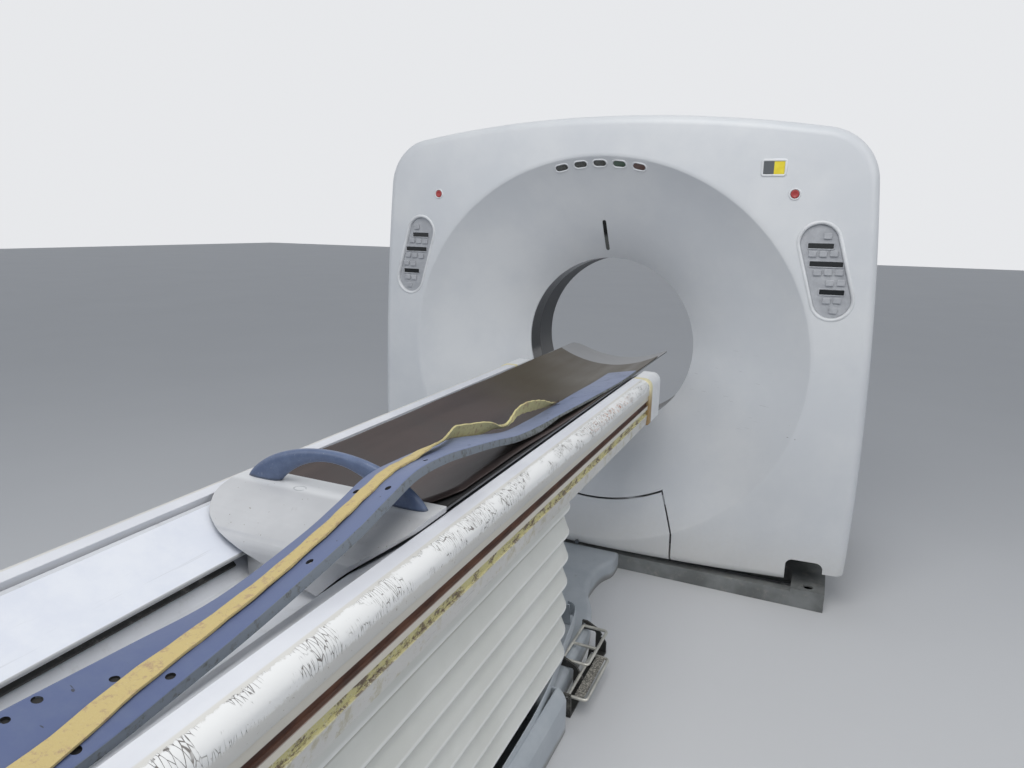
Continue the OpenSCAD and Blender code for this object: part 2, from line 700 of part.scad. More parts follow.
module laser_window() color("#15181a") at_iso() along_x(laser_x - 7.8, laser_x + 7.8)
  polygon(concat(
    [for (i = [0:6]) let (z = laser_near - 0.2 + (laser_far - laser_near + 0.4) * i / 6)
      [dish_at(0, z) + 1, z]],
    [for (i = [6:-1:0]) let (z = laser_near - 0.2 + (laser_far - laser_near + 0.4) * i / 6)
      [dish_at(0, z) + 7, z]]));

// Couch base and lift
skirt_inner = 292;
skirt_front = -1315;
base_half = 204;
base_plate = 12;
plate_half = 226;
plate_head = lift_foot + arm_reach_max + 252;
cheek = 16;
module arm_slot(level) stadium(
  [lift_foot + arm_reach_min - arm_slack, level],
  [lift_foot + arm_reach_max + arm_slack, level], arm_pin + arm_slack);
module couch_base_frame() color("#6b7175") {
  box(-plate_half, plate_half, skirt_front - 15, plate_head, 0, base_plate);
  box(seat - skirt_inner, skirt_inner - seat, lift_foot - 250, skirt_front - 12, 0, base_plate);
  both_sides() along_x(base_half - cheek, base_half) difference() {
    translate([lift_foot - 70, base_plate - 1])
      square([arm_reach_max + 122, 200 - base_plate]);
    translate([lift_foot, arm_low]) circle(arm_pin + run, $fn = 48);
    arm_slot(arm_low);
  }
  for (y = [lift_foot - 210, lift_foot + arm_reach_max + 132])
    box(-base_half, base_half, y, y + 40, base_plate - 1, 70);
  both_sides() box(base_half - 2, 230, lift_foot - 70, lift_foot + arm_reach_max + 32,
                   158, bellows_low);
}
jack_radius = 50;
ram_radius = 25;
jack_top = 380;
module lift_jack_housing() color("#3d4347") translate([0, jack_y, 0]) difference() {
  union() {
    translate([0, 0, base_plate]) cylinder(r = jack_radius, h = jack_top - base_plate, $fn = 96);
    box(-75, 75, -75, 75, base_plate, base_plate + 14);
  }
  translate([0, 0, 58]) cylinder(r = ram_radius + run, h = 400, $fn = 72);
}
module lift_ram() color("#c5c9cb") translate([0, jack_y, 0])
  translate([0, 0, 215]) cylinder(r = ram_radius, h = frame_level - 215, $fn = 72);

// Scissor arms: pairs of bars on cross shafts
module arm_bars(x0, x1, lean)
  both_sides() along_x(x0, x1) rotate(lean) stadium([0, 0], [arm_length, 0], 32);
// Shafts end inside the cheeks
module cross_shaft() along_x(4 - base_half, base_half - 4) circle(arm_pin, $fn = 48);
module lift_arm_outer() color("#83898c") translate([0, lift_foot, arm_low]) {
  arm_bars(164, 184, lift_angle);
  cross_shaft();
  translate([0, arm_run, arm_high - arm_low]) cross_shaft();
  both_sides() translate([0, arm_run / 2, (arm_high - arm_low) / 2])
    along_x(134, 170) circle(arm_pin, $fn = 48);
}
module lift_arm_inner() color("#757b7f") translate([0, lift_foot, arm_high]) difference() {
  union() {
    arm_bars(136, 156, -lift_angle);
    cross_shaft();
    translate([0, arm_run, arm_low - arm_high]) cross_shaft();
  }
  translate([0, arm_run / 2, (arm_low - arm_high) / 2])
    along_x(-160, 160) circle(arm_pin + arm_slack, $fn = 48);
}

// Lifting frame under the deck
module couch_frame() color("#7b8185") {
  both_sides() {
    along_x(base_half - cheek, base_half) difference() {
      translate([lift_foot - 90, arm_high - 50])
        square([arm_reach_max + 142, frame_level + 1 - arm_high + 50]);
      translate([lift_foot, arm_high]) circle(arm_pin + run, $fn = 48);
      arm_slot(arm_high);
    }
    box(base_half - 54, base_half, rail_foot + 20, rail_head - 20, frame_level, frame_level + 45);
  }
  for (y = [rail_foot + 60, lift_foot - 60, jack_y - 60, -1400, -900, rail_head - 120])
    box(-rail_inner, rail_inner, y, y + 24, frame_level, deck_floor - 5);
  box(-90, 90, jack_y - 60, jack_y + 60, frame_level, frame_level + 20);
}

// Side rail: hollow moulding with the grooves of the missing trim (x, z)
rail_shape = [[232, 871], [264, 871], [277, 868], [288, 861], [295, 851], [297, 840],
              [297, 815], [294, 813], [294, 796], [287, 796], [287, 778], [294, 778],
              [294, 763], [289, 763], [289, 743], [294, 743], [291, 707]];
function rail_at(p) = p + [couch_half_width - 297, couch_height - 871];
rail_outside = [for (p = rail_shape) rail_at(p)];
rail_cap_outside = [for (p = [[232, 871], [264, 871], [279, 870], [291, 863], [298, 853],
                              [301, 841], [301, 711], [299, 703], [232, 703]]) rail_at(p)];
module rail() along_y(rail_foot, rail_head) difference() {
  polygon(concat(rail_outside, [rail_at([232, 707])]));
  polygon([for (p = [[239, 700], [239, 865], [262, 865], [281, 855], [283, 838], [283, 700]])
    rail_at(p)]);
}
module right_side_rail() color("#e6e4dc") rail();
module left_side_rail() color("#e6e4dc") mirror([1, 0, 0]) rail();
cap_length = 160;
cap_thick = 11;
module rail_end_caps() color("#eeeeea") both_sides() intersection() {
  difference() {
    along_y(rail_head + cap_thick - cap_length, rail_head + cap_thick)
      polygon(rail_cap_outside);
    along_y(rail_foot, rail_head)
      polygon(concat(rail_outside, [rail_at([291, 690]), rail_at([200, 690]), rail_at([200, 871]),
                                    rail_at([200, 900])]));
  }
  along_x(0, couch_half_width + 20) {
    difference() {
      translate([rail_head - cap_length, couch_height - 200]) square([cap_length + cap_thick, 200]);
      translate([rail_head + cap_thick - 50, couch_height - 201]) square([60, 200]);
      translate([rail_head + cap_thick - 110, couch_height - 201]) square([120, 100]);
    }
    translate([rail_head + cap_thick - 30, couch_height - 30]) circle(30, $fn = 48);
    translate([rail_head + cap_thick - 100, couch_height - 91]) circle(100, $fn = 96);
  }
}

// Deck: folded tray between the rails, with the bearings of the support roller
roller_radius = 16;
roller_y = rail_head - 40;
roller_level = table_sag - belt_gap - roller_radius;
deck_thick = 5;
deck_line = [[-deck_edge, couch_height - 9], [-152, couch_height - 52],
             [-trough_half, deck_floor], [trough_half, deck_floor],
             [152, couch_height - 52], [deck_edge, couch_height - 9]];
module deck_tray() color("#dfe2e6") {
  along_y(rail_foot + 10, rail_head - 15)
    polygon(concat(deck_line,
                   [for (i = [5:-1:0]) deck_line[i] - [0, i % 5 == 0 ? 6 : deck_thick]]));
  both_sides() along_x(38, 46) difference() {
    translate([roller_y - 10, deck_floor - 1]) square([20, roller_level - deck_floor + 9]);
    translate([roller_y, roller_level]) circle(4 + run, $fn = 32);
  }
}
module support_roller() color("#3b3e40") translate([0, roller_y, roller_level]) {
  along_x(-37, 37) circle(roller_radius, $fn = 64);
  along_x(-46, 46) circle(4, $fn = 32);
}
// The loose board lies in the deck, low enough for the tabletop to run over it
function table_under(x) = table_sag + table_low_arc - sqrt(pow(table_low_arc, 2) - x * x);
module left_deck_board() color("#f1f3f6") along_y(rail_foot + 10, wedge_back)
  polygon(concat(
    [for (i = [0:6]) let (x = 213 - 20.5 * i) [-x, table_under(x) - 0.8]],
    [[-92, couch_height - 82], [-152, couch_height - 51.6], [-217, couch_height - 13.3]]));

// Tabletop: thin crescent section, and what is fixed to it
module table_section(lower, upper, half)
  intersection() {
    difference() {
      translate([0, table_sag + lower + table_low_arc]) circle(table_low_arc, $fn = 360);
      translate([0, table_centre + upper + table_top_arc]) circle(table_top_arc, $fn = 360);
    }
    translate([-half, table_sag - 50]) square([2 * half, 150]);
  }
module tabletop() color("#d9d6cf") intersection() {
  along_y(table_foot, table_head) table_section(0, 0, tabletop_half_width);
  along_z(couch_height - 171, couch_height + 100) polygon([
    for (side = [1, -1]) for (p = side > 0
      ? [[-1, -1], [-1, 75], [-7, 45], [-24, 18], [-55, 0]]
      : [[-55, 0], [-24, 18], [-7, 45], [-1, 75], [-1, -1]])
      [side * (tabletop_half_width + p[0] + (p[1] < 0 || p[1] > 70 ? 5 : 0)),
       p[1] < 0 ? table_foot - 5 : table_head - p[1]]]);
}
module tabletop_carriage() color("#9ba0a3") difference() {
  along_y(wedge_back + 20, -1500)
    polygon([[-trough_half + 0.1, deck_floor + run], [trough_half - 0.1, deck_floor + run],
             [trough_half - 0.1, deck_floor + 60], [-trough_half + 0.1, deck_floor + 60]]);
  along_y(-2200, -1400) translate([0, table_sag + table_low_arc])
    circle(table_low_arc, $fn = 360);
  along_y(-2200, -1400) translate([-60, deck_floor + 8]) square([120, 16]);
}
mat_foot = wedge_front + seat;
mat_head = table_head - 220;
mat_thick = 5;
module mat() color("#3a2e2b") difference() {
  along_y(mat_foot, mat_head) intersection() {
    difference() {
      translate([0, table_centre + table_top_arc]) circle(table_top_arc, $fn = 360);
      translate([0, table_centre + table_top_arc]) circle(table_top_arc - mat_thick, $fn = 360);
    }
    translate([mat_thick - tabletop_half_width, table_sag])
      square([2 * (tabletop_half_width - mat_thick), 90]);
  }
  // Its right corner is cut off beside the handle
  along_z(table_sag, table_sag + 120)
    polygon([[60, mat_foot - 2], [240, mat_foot - 2], [240, mat_foot + 143]]);
}

// Foot cover of the tabletop: three profiles crossed, then hollowed
module wedge_form(inset) {
  lift = couch_height - 871;
  intersection() {
    along_y(wedge_back - 10, wedge_front + 1) translate([0, lift]) polygon([
      [-88 + inset, 762 + inset], [88 - inset, 762 + inset], [152 - inset, 826 + inset],
      [222 - inset, 867 + inset], [234 - inset, 876 + inset], [234 - inset, 888 - inset],
      [-234 + inset, 888 - inset], [-234 + inset, 876 + inset], [-222 + inset, 870 + inset],
      [-88 + inset, 817 + inset]]);
    along_x(-260, 260) translate([0, lift]) polygon([
      [wedge_back + inset, 700], [wedge_back + inset, 812], [wedge_back + 9 + inset, 836],
      [wedge_back + 40 + inset, 861 - inset], [wedge_back + 88 + inset, 878 - inset],
      [wedge_back + 130, 887 - inset], [wedge_front - 4 - inset, 887 - inset],
      [wedge_front - inset, 883 - inset], [wedge_front - inset, 700]]);
    along_z(700, 1000) polygon([
      [-130, wedge_back + inset], [130, wedge_back + inset], [170 - inset, wedge_back + 16 + inset],
      [206 - inset, wedge_back + 50 + inset], [236 - inset, wedge_back + 100],
      [236 - inset, wedge_front], [-236 + inset, wedge_front], [-236 + inset, wedge_back + 100],
      [-206 + inset, wedge_back + 50 + inset], [-170 + inset, wedge_back + 16 + inset]]);
  }
}
module tabletop_foot_cover() color("#c3c6ca") difference() {
  wedge_form(0);
  wedge_form(5);
  along_y(wedge_front - 60, wedge_front + 10) difference() {
    translate([0, table_sag - 0.5 + table_low_arc]) circle(table_low_arc, $fn = 360);
    translate([-400, couch_height + 2]) square([800, 900]);
  }
  along_y(wedge_back + 15, wedge_front + 10)
    polygon([[-101, deck_floor - 20], [101, deck_floor - 20], [101, deck_floor + 62],
             [-101, deck_floor + 62]]);
}

// Handle: arch over the foot cover, thin at the crown and flared at its feet
handle_y = -1910;
handle_steps = 18;
handle_seat = couch_height + 16 + seat;
handle_outer = [222, 102, 1.2];
handle_inner = [136, 66, 1.7];
function arch_point(arch, low, share) =
  let (x = -arch[0] * cos(180 * share)) [x, low + arch[1] * pow(max(0, 1 - pow(x / arch[0], 2)), 1 / arch[2])];
module tabletop_handle() color("#5c6f8c") intersection() {
  loft([for (i = [0:handle_steps])
    let (o = arch_point(handle_outer, couch_height - 3, i / handle_steps),
         n = arch_point(handle_inner, couch_height + 9, i / handle_steps),
         mid = (o + n) / 2, arm = (o - n) / 2,
         deep = 19 + 0.2 * max(0, norm(arm) - 15))
    [for (j = [0:15]) let (w = 22.5 * j)
      [mid[0] + arm[0] * cos(w), handle_y + deep * sin(w), mid[1] + arm[1] * cos(w)]]]);
  box(-300, 300, -2100, -1700, handle_seat, couch_height + 200);
}

// Detached side trim lying over the couch: y, x of the middle, level, bank
strip_path = [[-2720, 164, 899, -20], [-2582, 158, 889, -17], [-2437, 144, 881, -2],
              [-2289, 140, 887, 13], [-2131, 149, 923, 10], [-2044, 149, 951, 8],
              [-1951, 145, 975, 5], [-1843, 145, 973, 5], [-1720, 141, 952, 4],
              [-1587, 137, 926, 3], [-1447, 134, 896, 8], [-1298, 134, 873, 17],
              [-1138, 136, 866, 18], [-972, 146, 867, 15], [-802, 160, 872, 12],
              [-628, 168, 872.5, 11], [-440, 168, 872.5, 11]];
// Smooth path through the points above, in steps of a third
function between(p0, p1, p2, p3, t) = 0.5 * (2 * p1 + (p2 - p0) * t
  + (2 * p0 - 5 * p1 + 4 * p2 - p3) * t * t + (3 * p1 - p0 - 3 * p2 + p3) * t * t * t);
function along(path, last) = concat(
  [for (i = [0:last - 1]) for (k = [0:2])
    between(path[max(i - 1, 0)], path[i], path[i + 1],
            path[min(i + 2, len(path) - 1)], k / 3)],
  [path[last]]);
function strip_section(p, points) = [for (q = points)
  [p[1] + q[0] * cos(p[3]) - q[1] * sin(p[3]), p[0],
   p[2] + couch_height - 871 + q[0] * sin(p[3]) + q[1] * cos(p[3])]];
// Its lips are deeper where it hangs free of the mat
function lip(y) = -8 - 9 * min(1, max(0, (-1150 - y) / 150));
module trim_strip() color("#6f80a6") loft([for (p = along(strip_path, 16)) let (low = lip(p[0]))
  strip_section(p, [[-55, low], [-51, low], [-51, -5], [51, -5], [51, low], [55, low],
                    [55, -2], [52, 0], [-52, 0], [-55, -2]])]);
module foam_tape() color("#c4a961") loft([for (p = along(strip_path, 11)) strip_section(p,
  [[-17, 1.5], [17, 1.5], [16, 6], [-16, 6]])]);

// Bellows round the lift, a skin of folds
bellows_low = 168;
bellows_high = frame_level;
bellows_half = 262;
bellows_head = -1160;
bellows_tail = -2620;
function bellows_ring(inset, z) =
  let (r = 100 - inset, x = bellows_half - 100, y0 = bellows_tail + 100, y1 = bellows_head - 100)
  [for (c = [[x, y1, 0], [-x, y1, 90], [-x, y0, 180], [x, y0, 270]]) for (i = [0:5])
    [c[0] + r * cos(c[2] + 18 * i), c[1] + r * sin(c[2] + 18 * i), z]];
module bellows() color("#dfe0d6") {
  pitch = (bellows_high - bellows_low) / bellows_folds;
  wall = 3;
  skin(concat(
    [for (i = [bellows_folds - 1:-1:0]) each [
      bellows_ring(22 + wall, bellows_low + (i + 1) * pitch - (i == bellows_folds - 1 ? 0 : 2)),
      bellows_ring(2 + wall, bellows_low + (i + 0.3) * pitch)]],
    [bellows_ring(34 + wall, bellows_low)],
    [for (i = [0:bellows_folds - 1]) each [
      bellows_ring(i == 0 ? 34 : 22, bellows_low + i * pitch),
      bellows_ring(0, bellows_low + (i + 0.3) * pitch)]],
    [bellows_ring(22, bellows_high)]));
}

// Floor cover round the foot of the couch
tongue_height = 75;
tongue_side = [[158, beam_front], [158, -380], [129, -462], [126, -590], [158, -688], [191, -756],
               [223, -875], [231, -970], [243, -1184], [250, -1324]];
ridge_plan = [[150, -905], [191, -949], [229, -1190], [257, -1380], [267, -1685], [267, -2900]];
ridge_low = 118;
ridge_top = 164;
module tongue_plan(inset)
  polygon(concat([for (p = tongue_side) [p[0] - inset, p[1]]],
                 [for (i = [9:-1:0]) [inset - tongue_side[i][0], tongue_side[i][1]]]));
module couch_floor_cover() color("#a9b3bd") {
  difference() {
    along_z(0, tongue_height) tongue_plan(0);
    along_z(-1, tongue_height - 4) intersection() {
      tongue_plan(5);
      translate([-300, -1400]) square([600, 1400 + beam_front - 4]);
    }
    box(-plate_half, plate_half, -1400, plate_head + 10, 0, 100);
  }
  both_sides() {
    along_z(ridge_low, ridge_top) polygon(concat(ridge_plan,
      [for (i = [5:-1:0]) ridge_plan[i] + [4, 0]]));
    along_y(-2900, skirt_front) polygon([[skirt_inner, 0], [298, 6], [298, 96], [288, 126],
      [271, 140], [267, 136], [283, 120], [skirt_inner, 94]]);
    along_y(skirt_front - 6, skirt_front) polygon([[244, 0], [298, 0], [298, 96], [288, 126],
      [271, 140], [248, 140], [244, 70]]);
  }
  along_y(-2900, -2894) polygon([[-298, 0], [298, 0], [298, 96], [268, 160], [-268, 160],
                                 [-298, 96]]);
  along_x(-165, 165) polygon([[-905, 70], [-899, 75], [-925, ridge_top], [-931, ridge_top]]);
}

// Foot pedals: bent rod frames that swing on a bracket beside the base
rod = 5;
front_hinge = [212, 90];
rear_hinge = [275, 60];
front_pedal_ends = [-1114, -910];
rear_pedal_ends = [-1234, -1013];
module rod_path(points) {
  for (p = points) translate(p) sphere(rod, $fn = 24);
  for (i = [0:len(points) - 2]) let (d = points[i + 1] - points[i])
    translate(points[i]) rotate([0, acos(d[2] / norm(d)), atan2(d[1], d[0])])
      cylinder(r = rod, h = norm(d), $fn = 24);
}
module pedal_bracket() color("#4d4f4c") difference() {
  union() {
    box(254, 290, rear_pedal_ends[0] - 16, front_pedal_ends[1] + 16, 0, 8);
    for (y = [front_pedal_ends[0] - 14, front_pedal_ends[1] + 6]) along_y(y, y + 8)
      polygon([[254, 0], [290, 0], [290, 40], [262, 84], [222, 104], [204, 104],
               [204, tongue_height + seat], [250, tongue_height + seat], [254, 70]]);
    for (y = [rear_pedal_ends[0] - 14, rear_pedal_ends[1] + 6]) along_y(y, y + 8)
      polygon([[254, 0], [290, 0], [287, 72], [263, 72]]);
  }
  for (h = [front_hinge, rear_hinge]) translate([h[0], rear_pedal_ends[0] - 20, h[1]])
    axial() cylinder(r = rod + run, h = 360, $fn = 24);
}
module pedal(hinge, ends, reach) translate([hinge[0], 0, hinge[1]]) {
  rod_path([[0, ends[0], 0], [reach, ends[0], 0], [reach, ends[1], 0], [0, ends[1], 0]]);
  translate([0, ends[0] - 13, 0]) axial()
    cylinder(r = rod, h = ends[1] - ends[0] + 26, $fn = 24);
}
module front_pedal() color("#b9b6a6") {
  pedal(front_hinge, front_pedal_ends, 82);
  rod_path([[front_hinge[0], -1020, front_hinge[1]], [front_hinge[0] + 82, -1020, front_hinge[1]]]);
}
module rear_pedal() color("#a5a396") {
  pedal(rear_hinge, rear_pedal_ends, 56);
  box(292, 322, rear_pedal_ends[0] + 1, rear_pedal_ends[1] - 1, rear_hinge[1] - 1, rear_hinge[1] + 4);
}

gantry_base();
left_stand();
right_stand();
tilt_motor();
tilt_pinion();
tilt_frame();
tilt_gear_sector();
front_cover();
service_panel();
rear_cover();
top_cover();
side_covers();
bore_liner();
scan_window();
panel_housings();
keypads();
panel_displays();
indicator_lamps();
laser_window();
status_window();
bearing_outer_race();
drive_motor();
drive_belt();
brush_block();
left_stop_button();
right_stop_button();
rotor_drum();
bearing_balls();
xray_tube();
collimator();
detector_arc();
high_voltage_generator();
inverter_box();
slip_ring();
motor_pulley();
couch_base_frame();
couch_floor_cover();
lift_jack_housing();
pedal_bracket();
bellows();
front_pedal();
rear_pedal();
couch_frame();
left_side_rail();
right_side_rail();
rail_end_caps();
deck_tray();
left_deck_board();
lift_ram();
lift_arm_outer();
lift_arm_inner();
tabletop();
tabletop_carriage();
tabletop_foot_cover();
tabletop_handle();
mat();
trim_strip();
foam_tape();
support_roller();
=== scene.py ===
# %% [markdown]
# # A ct scanner and its couch
# A tilting gantry with a dished round bore stands behind a long patient couch. The working model is loaded
# first, with every piece in its place, in metres. The camera and the lamps come next, then a few helpers, the
# finishes, and the pieces that a moulder, a painter or an upholsterer would take over from the engineer.

import json
import math

import bmesh
import bpy
import numpy as np
from mathutils import Matrix, Vector


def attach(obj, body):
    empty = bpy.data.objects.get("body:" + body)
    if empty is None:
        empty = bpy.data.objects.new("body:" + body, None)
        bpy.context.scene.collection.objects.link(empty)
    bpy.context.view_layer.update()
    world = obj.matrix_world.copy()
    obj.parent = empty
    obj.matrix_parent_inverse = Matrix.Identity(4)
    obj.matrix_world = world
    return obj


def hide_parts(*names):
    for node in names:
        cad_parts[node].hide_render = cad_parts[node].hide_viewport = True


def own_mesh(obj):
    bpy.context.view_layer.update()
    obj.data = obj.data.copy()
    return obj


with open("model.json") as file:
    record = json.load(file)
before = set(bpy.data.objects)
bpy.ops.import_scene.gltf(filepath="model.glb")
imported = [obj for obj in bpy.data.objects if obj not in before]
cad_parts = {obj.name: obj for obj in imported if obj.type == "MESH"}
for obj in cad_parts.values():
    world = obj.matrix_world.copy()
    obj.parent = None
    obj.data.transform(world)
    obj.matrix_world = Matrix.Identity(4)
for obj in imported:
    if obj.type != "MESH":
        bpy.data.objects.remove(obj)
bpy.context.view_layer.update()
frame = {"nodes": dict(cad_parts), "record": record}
nodes = frame["nodes"]

# %% [markdown]
# ## The camera
# The photograph was taken by a standing person beside the couch's foot end, with a wide phone lens, slightly
# turned. Its place was solved from the straight edges of the couch and the gantry, so it is set once, as a
# point, three angles and a focal length.

# %% The camera
IMAGE_WIDTH = 1024
FOCAL_PIXELS = 698.635
SENSOR_WIDTH = 36.0
CAMERA_PLACE = (0.8454, -2.943, 1.4068)
yaw, pitch, roll = 0.423192, 0.226345, 0.0193348

look = Vector((-math.sin(yaw) * math.cos(pitch), math.cos(yaw) * math.cos(pitch), -math.sin(pitch)))
level_right = Vector((math.cos(yaw), math.sin(yaw), 0.0))
level_up = level_right.cross(look)
camera_right = level_right * math.cos(roll) + level_up * math.sin(roll)
camera_up = level_up * math.cos(roll) - level_right * math.sin(roll)

bpy.ops.object.select_all(action="DESELECT")
bpy.ops.object.camera_add(location=CAMERA_PLACE)
camera = bpy.context.object
camera.rotation_euler = Matrix((camera_right, camera_up, -look)).transposed().to_euler()
camera.data.sensor_fit = "HORIZONTAL"
camera.data.sensor_width = SENSOR_WIDTH
camera.data.lens = SENSOR_WIDTH * FOCAL_PIXELS / IMAGE_WIDTH
bpy.context.scene.camera = camera
print("lens", round(camera.data.lens, 2), "mm")

# %% [markdown]
# ## Helpers for modelling
# Almost every cover here is a skin pulled over frames, as a boat's hull is. So one helper starts from a circle,
# puts its corners on the first frame, and extrudes the loop in edit mode from frame to frame. Others extrude a
# drawn outline, apply a modifier, cut one piece with another, and hand a finished piece to its body.


# %% Selecting, applying and cutting
SAME_SPOT = 1e-6


def alone(piece):
    """Selects one piece and nothing else."""
    bpy.ops.object.select_all(action="DESELECT")
    piece.select_set(True)
    bpy.context.view_layer.objects.active = piece


def named(name):
    """Names the object that was just added, and its mesh."""
    piece = bpy.context.object
    piece.name = piece.data.name = name
    return piece


def apply_modifier(piece, kind, **settings):
    """Adds a modifier with its settings and applies it."""
    alone(piece)
    modifier = piece.modifiers.new(kind.title(), kind)
    for setting, value in settings.items():
        setattr(modifier, setting, value)
    bpy.ops.object.modifier_apply(modifier=modifier.name)


def smooth_by(piece, degrees):
    """Smooths the edges that are flatter than so many degrees."""
    alone(piece)
    bpy.ops.object.shade_smooth_by_angle(angle=math.radians(degrees))


def round_edges(piece, width, segments, sharper_than, smooth=None, **more):
    """Bevels the edges sharper than an angle, then smooths by another angle if one is given."""
    apply_modifier(piece, "BEVEL", width=width, segments=segments, limit_method="ANGLE",
                   angle_limit=math.radians(sharper_than), **more)
    if smooth:
        smooth_by(piece, smooth)


def twin(piece, name):
    """A second piece of the same shape, with a mesh of its own."""
    second = piece.copy()
    second.data = piece.data.copy()
    bpy.context.collection.objects.link(second)
    second.name = second.data.name = name
    return second


def cut(piece, cutter, keep="DIFFERENCE"):
    """Cuts a piece with another, which is then removed."""
    apply_modifier(piece, "BOOLEAN", object=cutter, operation=keep, solver="EXACT")
    bpy.data.objects.remove(cutter)


def joined(pieces, name):
    """Joins separate solids into one piece."""
    alone(pieces[0])
    for other in pieces[1:]:
        other.select_set(True)
    if len(pieces) > 1:
        bpy.ops.object.join()
    return named(name)


def tidy_skin(piece, smooth=35):
    """Merges doubles, turns the faces outwards and smooths all but the sharp edges."""
    alone(piece)
    bpy.ops.object.mode_set(mode="EDIT")
    bpy.ops.mesh.select_all(action="SELECT")
    bpy.ops.mesh.remove_doubles(threshold=SAME_SPOT)
    bpy.ops.mesh.normals_make_consistent(inside=False)
    bpy.ops.object.mode_set(mode="OBJECT")
    bpy.ops.object.shade_smooth_by_angle(angle=math.radians(smooth))


# %% Skins pulled over frames, and outlines extruded
def pull_rings(name, rings, closed=False, capped=False, smooth=35):
    """Extrudes a loop in edit mode from ring to ring; closed joins the last to the first."""
    count = len(rings[0])
    bpy.ops.object.select_all(action="DESELECT")
    bpy.ops.mesh.primitive_circle_add(vertices=count)
    piece = named(name)
    place = piece.data.attributes.new("place", "INT", "POINT")
    place.data.foreach_set("value", list(range(count)))
    piece.data.vertices.foreach_set("co", np.ravel(np.asarray(rings[0], dtype=float)))
    bpy.ops.object.mode_set(mode="EDIT")
    bpy.ops.mesh.select_all(action="SELECT")
    for ring in list(rings[1:]) + ([rings[0]] if closed else []):
        bpy.ops.mesh.extrude_edges_indiv()
        mesh = bmesh.from_edit_mesh(piece.data)
        spot = mesh.verts.layers.int["place"]
        for corner in mesh.verts:
            if corner.select:
                corner.co = ring[corner[spot]]
        bmesh.update_edit_mesh(piece.data)
    bpy.ops.mesh.select_all(action="SELECT")
    if closed:
        bpy.ops.mesh.remove_doubles(threshold=SAME_SPOT)
    if capped:
        bpy.ops.mesh.fill_holes(sides=0)
    bpy.ops.object.mode_set(mode="OBJECT")
    piece.data.attributes.remove(piece.data.attributes["place"])
    tidy_skin(piece, smooth=smooth)
    return piece


def extrude_outline(name, outline, push, place):
    """Fills an outline of (u, v) points and extrudes it by the push vector; place gives each point in 3-D."""
    bpy.ops.object.select_all(action="DESELECT")
    bpy.ops.mesh.primitive_circle_add(vertices=len(outline), fill_type="NGON")
    piece = named(name)
    piece.data.vertices.foreach_set("co", np.ravel([place(p) for p in outline]))
    bpy.ops.object.mode_set(mode="EDIT")
    bpy.ops.mesh.select_all(action="SELECT")
    bpy.ops.mesh.extrude_region_move(TRANSFORM_OT_translate={"value": push})
    bpy.ops.object.mode_set(mode="OBJECT")
    tidy_skin(piece)
    return piece


def settle(piece, body, finish, *replaced, slot=None):
    """Gives a finished piece its finish, its body and the model's nodes that it stands for; its slot is not used."""
    piece.data.materials.clear()
    piece.data.materials.append(finish.material)
    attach(piece, body)
    if replaced:
        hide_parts(*replaced)
    print(piece.name, len(piece.data.polygons), "faces")
    return piece


# %% [markdown]
# ## Helpers for finishes
# A material is arithmetic on where a point lies on the piece. A small class lets that arithmetic be written as
# Python, and one method adds every other node. All the patterns read Object coordinates, which are metres here,
# so a noise scale of 100 has features of about a centimetre.


# %% Shader maths
class Wire:
    """One value in a material, so that shader maths reads as arithmetic."""

    def __init__(self, tree, socket):
        self.tree, self.socket = tree, socket

    def maths(self, operation, first, second=0.0):
        step = self.tree.nodes.new("ShaderNodeMath")
        step.operation = operation
        for slot, value in zip(step.inputs, (first, second)):
            if isinstance(value, Wire):
                self.tree.links.new(value.socket, slot)
            else:
                slot.default_value = value
        return Wire(self.tree, step.outputs[0])

    def __add__(self, other):
        return self.maths("ADD", self, other)

    def __sub__(self, other):
        return self.maths("SUBTRACT", self, other)

    def __rsub__(self, other):
        return self.maths("SUBTRACT", other, self)

    def __mul__(self, other):
        return self.maths("MULTIPLY", self, other)

    def __truediv__(self, other):
        return self.maths("DIVIDE", self, other)

    def __pow__(self, other):
        return self.maths("POWER", self, other)

    def __neg__(self):
        return self.maths("MULTIPLY", self, -1.0)

    __radd__ = __add__


